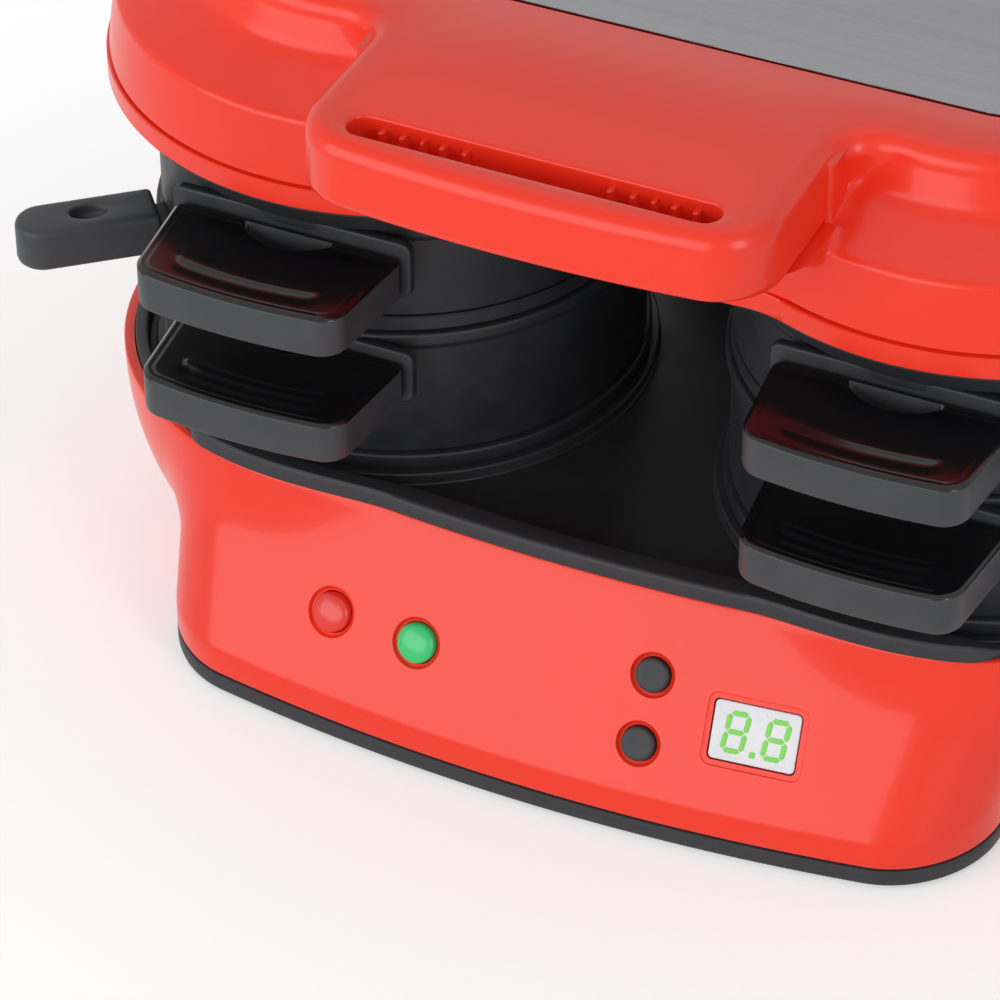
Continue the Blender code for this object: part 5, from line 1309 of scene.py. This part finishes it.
@dataclass
class EggPlate:
    """Swinging plate between the rings, with its handle and pin."""

    side: Side
    bottom: float = 98.0
    top: float = 102.0
    radius: float = 61.0

    def radial(self, angle: float) -> tuple[Array, Array]:
        """Directions along and across a bar that points away from the pocket's middle."""
        turn = math.radians(angle)
        along = np.array([-self.side.value * math.cos(turn), math.sin(turn)])
        across = np.array([self.side.value * math.sin(turn), math.cos(turn)])
        return along, across

    def plate(self) -> bpy.types.Object:
        """Build the plate: one outline of disc, pivot ear and tang, drawn in to a dished middle."""
        ear_along, ear_across = self.radial(130.0)
        tang_along, tang_across = self.radial(220.0)

        def shape(x: Array, y: Array) -> Array:
            """Disc joined to the ear and the tang."""
            disc = np.hypot(x, y) - self.radius
            run, off = x * ear_along[0] + y * ear_along[1], x * ear_across[0] + y * ear_across[1]
            ear = np.hypot(run - np.clip(run, 0.0, 68.0), off) - 6.0
            run, off = x * tang_along[0] + y * tang_along[1], x * tang_across[0] + y * tang_across[1]
            tang = np.maximum(np.abs(run - 38.5) - 38.5, np.abs(off) - 4.6)
            return round_union(round_union(disc, ear, 2.0), tang, 1.0)
        count = 420
        angles = even_rays(shape, count)
        line = trace(shape, angles)
        normal = line_normals(line)
        rows = [np.column_stack([line - normal * inset, np.full(count, z)]) for inset, z in
                ((0.4, self.bottom), (0.0, self.bottom + 0.4), (0.0, self.top - 0.4), (0.4, self.top))]
        for radius, z in ((52.0, self.top), (50.6, self.top - 0.1), (49.6, self.top - 0.7), (48.4, self.top - 1.4),
                          (47.0, self.top - 1.6), (30.0, self.top - 1.6)):
            level = np.full(count, z)
            rows.append(np.column_stack([radius * np.cos(angles), radius * np.sin(angles), level]))
        grid = np.array(rows)
        grid[..., 0] += self.side.x
        shell = Shell()
        first, last = shell.grid(grid)
        shell.cap([range(first, first + count)])
        shell.fan(last, count)
        return piece(f"egg_plate_{self.side.word}_disc", shell, f"egg_plate_unit_{self.side.word}", COATING,
                     [f"egg_plate_{self.side.word}"], sharp=35.0)

    def handle(self) -> bpy.types.Object:
        """Build the handle: a round-ended bar with soft edges and a long finger dimple."""
        along, across = self.radial(220.0)
        low, high = 94.25, 105.75
        count = 200
        centre = (80.0, 0.0)

        def outline(inset: float) -> Field:
            """Bar with a half-round tip in its own directions, moved inwards."""
            def shape(run: Array, off: Array) -> Array:
                """Field of the bar."""
                tip = np.hypot(np.maximum(run - 91.6, 0.0), off) - 6.8
                return round_common(tip, 63.2 - run, 1.2) + inset
            return shape
        angles = even_rays(outline(0.0), count, centre)
        specs = [(1.6, low), (0.8, low + 0.2), (0.25, low + 0.75), (0.0, low + 1.6), (0.0, high - 1.6),
                 (0.25, high - 0.75), (0.8, high - 0.2), (1.6, high)]
        rows = [np.column_stack([trace(outline(inset), angles, centre), np.full(count, z)])
                for inset, z in specs]
        turn = angles
        for scale, z in ((1.12, high), (1.03, high - 0.12), (0.97, high - 0.5), (0.9, high - 1.6), (0.8, high - 2.5),
                         (0.6, high - 2.9), (0.3, high - 3.0)):
            rows.append(np.column_stack([80.0 + 4.8 * scale * np.cos(turn), 3.0 * scale * np.sin(turn),
                                         np.full(count, z)]))
        grid = np.array(rows)
        run, off = grid[..., 0].copy(), grid[..., 1].copy()
        grid[..., 0] = self.side.x + run * along[0] + off * across[0]
        grid[..., 1] = run * along[1] + off * across[1]
        shell = Shell()
        first, last = shell.grid(grid)
        shell.cap([range(first, first + count)])
        shell.fan(last, count)
        return piece(f"egg_handle_{self.side.word}_grip", shell, f"egg_plate_unit_{self.side.word}", HANDLE_BLACK,
                     [f"egg_handle_{self.side.word}"], sharp=50.0)


@dataclass
class LidFittings:
    """What the lid carries besides its moulding: liner, plates and steel panel."""

    lid: Lid

    def panel(self) -> bpy.types.Object:
        """Build the steel panel with its rounded bright edge."""
        half, front, rear, corner = self.lid.panel
        line = rounded_line(half - 0.6, (rear - front) / 2 - 0.6, corner - 0.6, 24)
        line[:, 1] += (front + rear) / 2
        shell = Shell()
        slab(shell, line, 180.9, 182.1, 0.3)
        return piece("steel_panel_sheet", shell, "lid", PANEL_STEEL, ["steel_panel"], sharp=25.0)

    def liner(self) -> bpy.types.Object:
        """Build the liner: two cones joined by the bridge, with the openings of the upper plates."""
        rows = np.array([(129.4, 64.1, 131.0), (129.7, 64.7, 131.0), (131.2, 65.9, 59.5), (131.6, 66.3, 59.9),
                         (137.6, 71.2, 59.9), (138.0, 71.2, 59.6)])
        z, radius, half = (rows[:, [i]] for i in range(3))
        half = np.minimum(half, 59.9)
        present = np.where(z < 131.0, 20.0, 0.0)

        def shape(x: Array, y: Array) -> Array:
            """Cones joined to the bridge, which starts at the ledge."""
            lobes = np.minimum(disc_field(x, y, PITCH / 2, radius), disc_field(x, y, -PITCH / 2, radius))
            neck = bowed_field(x, y, half, -56.0, 0.05, 73.0, 6.0, 6.0) + present
            return round_union(lobes, neck, 1.0)
        def key(x: Array, y: Array) -> Array:
            """Outline that the rays are spaced on."""
            return shape(x[None, :], y[None, :])[-1]
        angles = even_rays(key, 600)
        flat = trace(shape, np.tile(angles, (len(rows), 1)))
        grid = np.concatenate([flat, np.broadcast_to(z, flat.shape[:2])[..., None]], axis=-1)
        shell = Shell()
        first, last = shell.grid(grid)
        low, high = [range(first, first + 600)], [range(last, last + 600)]
        turn = rays(160)
        for side in Side:
            hole = np.array([np.column_stack([side.x + r * np.cos(turn), r * np.sin(turn), np.full(160, level)])
                             for r, level in ((56.0, 129.4), (56.0, 138.0))])
            a, b = shell.grid(hole)
            low.append(range(a, a + 160))
            high.append(range(b, b + 160))
        shell.cap(low)
        shell.cap(high)
        return piece("lid_liner_moulding", shell, "lid", HOUSING_BLACK, ["lid_liner"], sharp=35.0)

    def plates(self) -> None:
        """Build the two upper heated plates."""
        for side in Side:
            shell = Shell()
            turned(shell, [(0.0, 127.4), (46.0, 127.4), (47.2, 126.9), (48.2, 126.6), (54.4, 126.6), (55.0, 126.8),
                           (55.2, 127.4), (55.2, 132.1), (60.0, 132.1), (60.0, 134.5), (52.2, 134.5),
                           (52.2, 130.0), (0.0, 130.0)], (side.x, 0.0), 180)
            piece(f"upper_plate_{side.word}_cup", shell, "lid", COATING, [f"upper_plate_{side.word}"])


@dataclass
class Stage:
    """Floor, lamps, world and camera."""

    azimuth: float = 25.2
    elevation: float = 37.8
    roll: float = -0.4
    distance: float = 1154.3
    target: tuple[float, float, float] = (-23.4, -60.0, 59.2)
    focal_pixels: float = 4777.4
    fade: tuple[float, float] = (0.17, 0.36)

    def floor(self) -> None:
        """Lay a pale floor that keeps the shadow and fades into plain white away from the object."""
        shell = Shell()
        half = 3000.0
        u, v = np.meshgrid(np.linspace(-half, half, 41), np.linspace(-half, half, 41))
        shell.grid(np.stack([u, v, np.zeros_like(u)], axis=-1), closed=False)
        item = bpy.data.objects.new("floor", shell.mesh("floor"))
        bpy.context.collection.objects.link(item)
        made = bpy.data.materials.new("floor_paper")
        made.use_nodes = True
        nodes, links = made.node_tree.nodes, made.node_tree.links
        nodes.clear()
        matt = nodes.new("ShaderNodeBsdfDiffuse")
        matt.inputs["Color"].default_value = (0.8, 0.8, 0.8, 1.0)
        glow = nodes.new("ShaderNodeEmission")
        lift = nodes.new("ShaderNodeMath")
        lift.operation = "MULTIPLY"
        lift.inputs[1].default_value = 0.4
        links.new(self.seen(made.node_tree), lift.inputs[0])
        links.new(lift.outputs[0], glow.inputs["Strength"])
        both = nodes.new("ShaderNodeAddShader")
        links.new(matt.outputs[0], both.inputs[0])
        links.new(glow.outputs[0], both.inputs[1])
        place, length = nodes.new("ShaderNodeTexCoord"), nodes.new("ShaderNodeVectorMath")
        length.operation = "LENGTH"
        links.new(place.outputs["Object"], length.inputs[0])
        fade = nodes.new("ShaderNodeMapRange")
        fade.interpolation_type = "SMOOTHSTEP"
        fade.inputs["From Min"].default_value, fade.inputs["From Max"].default_value = self.fade
        links.new(length.outputs["Value"], fade.inputs["Value"])
        away = nodes.new("ShaderNodeMath")
        away.operation = "MULTIPLY"
        links.new(fade.outputs["Result"], away.inputs[0])
        links.new(self.seen(made.node_tree), away.inputs[1])
        white, mix = nodes.new("ShaderNodeEmission"), nodes.new("ShaderNodeMixShader")
        links.new(away.outputs[0], mix.inputs[0])
        links.new(both.outputs[0], mix.inputs[1])
        links.new(white.outputs[0], mix.inputs[2])
        end = nodes.new("ShaderNodeOutputMaterial")
        links.new(mix.outputs[0], end.inputs["Surface"])
        item.data.materials.append(made)

    def seen(self, tree: bpy.types.NodeTree) -> bpy.types.NodeSocket:
        """Add nodes whose output is 1 for camera, glossy and transmission rays.

        Args:
            tree: node tree of the floor's material or the world.

        Returns:
            The output socket.
        """
        path = tree.nodes.new("ShaderNodeLightPath")
        direct, through = tree.nodes.new("ShaderNodeMath"), tree.nodes.new("ShaderNodeMath")
        direct.operation = through.operation = "MAXIMUM"
        tree.links.new(path.outputs["Is Camera Ray"], direct.inputs[0])
        tree.links.new(path.outputs["Is Glossy Ray"], direct.inputs[1])
        tree.links.new(direct.outputs[0], through.inputs[0])
        tree.links.new(path.outputs["Is Transmission Ray"], through.inputs[1])
        return through.outputs[0]

    def world(self) -> None:
        """Make the world white to the camera and to reflections, and a plain soft grey as a light."""
        made = bpy.data.worlds.new("studio")
        bpy.context.scene.world = made
        made.use_nodes = True
        nodes, links = made.node_tree.nodes, made.node_tree.links
        nodes.clear()
        soft, white = nodes.new("ShaderNodeBackground"), nodes.new("ShaderNodeBackground")
        soft.inputs["Color"].default_value = (0.42, 0.42, 0.42, 1.0)
        soft.inputs["Strength"].default_value = 1.0
        white.inputs["Color"].default_value = (1.0, 1.0, 1.0, 1.0)
        mix = nodes.new("ShaderNodeMixShader")
        links.new(self.seen(made.node_tree), mix.inputs[0])
        links.new(soft.outputs[0], mix.inputs[1])
        links.new(white.outputs[0], mix.inputs[2])
        end = nodes.new("ShaderNodeOutputWorld")
        links.new(mix.outputs[0], end.inputs["Surface"])

    def lamp(self, name: str, place: tuple[float, float, float], size: Place, power: float) -> None:
        """Hang a soft box that looks at the object.

        Args:
            name: name of the lamp.
            place: where it hangs, in metres.
            size: its width and height, in metres.
            power: its power in watts.
        """
        light = bpy.data.lights.new(name, "AREA")
        light.shape = "RECTANGLE"
        light.size, light.size_y = size
        light.energy = power
        item = bpy.data.objects.new(name, light)
        aim = Vector((0.0, 0.0, 0.08)) - Vector(place)
        item.location = place
        item.rotation_euler = aim.to_track_quat("-Z", "Y").to_euler()
        bpy.context.collection.objects.link(item)

    def camera(self) -> None:
        """Set up the camera as fitted to the photograph."""
        a, e, r = (math.radians(value) for value in (self.azimuth, self.elevation, self.roll))
        back = Vector((math.sin(a) * math.cos(e), -math.cos(a) * math.cos(e), math.sin(e)))
        right = Vector((math.cos(a), math.sin(a), 0.0))
        up = back.cross(right)
        right, up = (right * math.cos(r) + up * math.sin(r), up * math.cos(r) - right * math.sin(r))
        data = bpy.data.cameras.new("camera")
        data.sensor_width = 36.0
        data.lens = self.focal_pixels / 1000.0 * 36.0
        data.clip_start, data.clip_end = 0.05, 50.0
        item = bpy.data.objects.new("camera", data)
        placed = Matrix((right, up, back)).transposed().to_4x4()
        placed.translation = (Vector(self.target) + back * self.distance) * METRE
        item.matrix_world = placed
        bpy.context.collection.objects.link(item)
        bpy.context.scene.camera = item

    def build(self) -> None:
        """Set the stage and the view."""
        self.floor()
        self.world()
        self.lamp("overhead", (0.0, 0.45, 1.5), (1.6, 1.2), 2.5)
        self.lamp("front_left", (-0.7, -1.6, 0.6), (2.2, 1.2), 20.5)
        self.lamp("front_right", (1.5, -1.0, 0.7), (0.5, 1.2), 8.0)
        self.camera()
        bpy.context.scene.view_settings.view_transform = "Standard"


def bottom_ring_unit(side: Side) -> RingUnit:
    """Bottom ring of a pocket; its arms climb behind the plate and the ring above."""
    start = math.sqrt(58.3 ** 2 - 15.0 ** 2)
    return RingUnit(side, "bottom", 61.65, 36.0, 94.6, 10.0,
                    [(start, 74.0), (start, 94.0), (66.0, 94.0), (66.0, 74.0), (79.0, 86.0)])


def top_ring_unit(side: Side) -> RingUnit:
    """Top ring of a pocket."""
    start = math.sqrt(58.3 ** 2 - 9.0 ** 2)
    return RingUnit(side, "top", 102.35, 26.8, 125.3, 4.0, [(start, 113.0), (start, 128.5)])


def main() -> None:
    """Build the sub-assemblies in order, dress the nodes that stay and set the stage."""
    logging.basicConfig(level=logging.INFO, format="%(message)s")
    housing = Housing()
    housing.moulding()
    housing.controls()
    tray = Tray(housing)
    tray.moulding()
    tray.cover()
    tray.hinge()
    tray.plates()
    for side in Side:
        for unit in (bottom_ring_unit(side), top_ring_unit(side)):
            unit.ring()
            unit.handle()
        plate = EggPlate(side)
        plate.plate()
        plate.handle()
    lid = Lid()
    lid.moulding()
    fittings = LidFittings(lid)
    fittings.panel()
    fittings.liner()
    fittings.plates()
    kept = {HOUSING_BLACK: ["cord_gland"], BOARD: ["control_board"],
            RUBBER: ["foot_front_left", "foot_front_right", "foot_rear_left", "foot_rear_right"],
            PLAIN_STEEL: ["bottom_screw_1", "bottom_screw_2", "bottom_screw_3", "bottom_screw_4",
                          "egg_pivot_pin_left", "egg_pivot_pin_right", "lower_element_left",
                          "lower_element_right", "upper_element_left", "upper_element_right",
                          "lower_thermostat_left", "lower_thermostat_right"]}
    for finish, nodes in kept.items():
        for node in nodes:
            dress(node, finish)
    Stage().build()


if __name__ == "__main__":
    main()
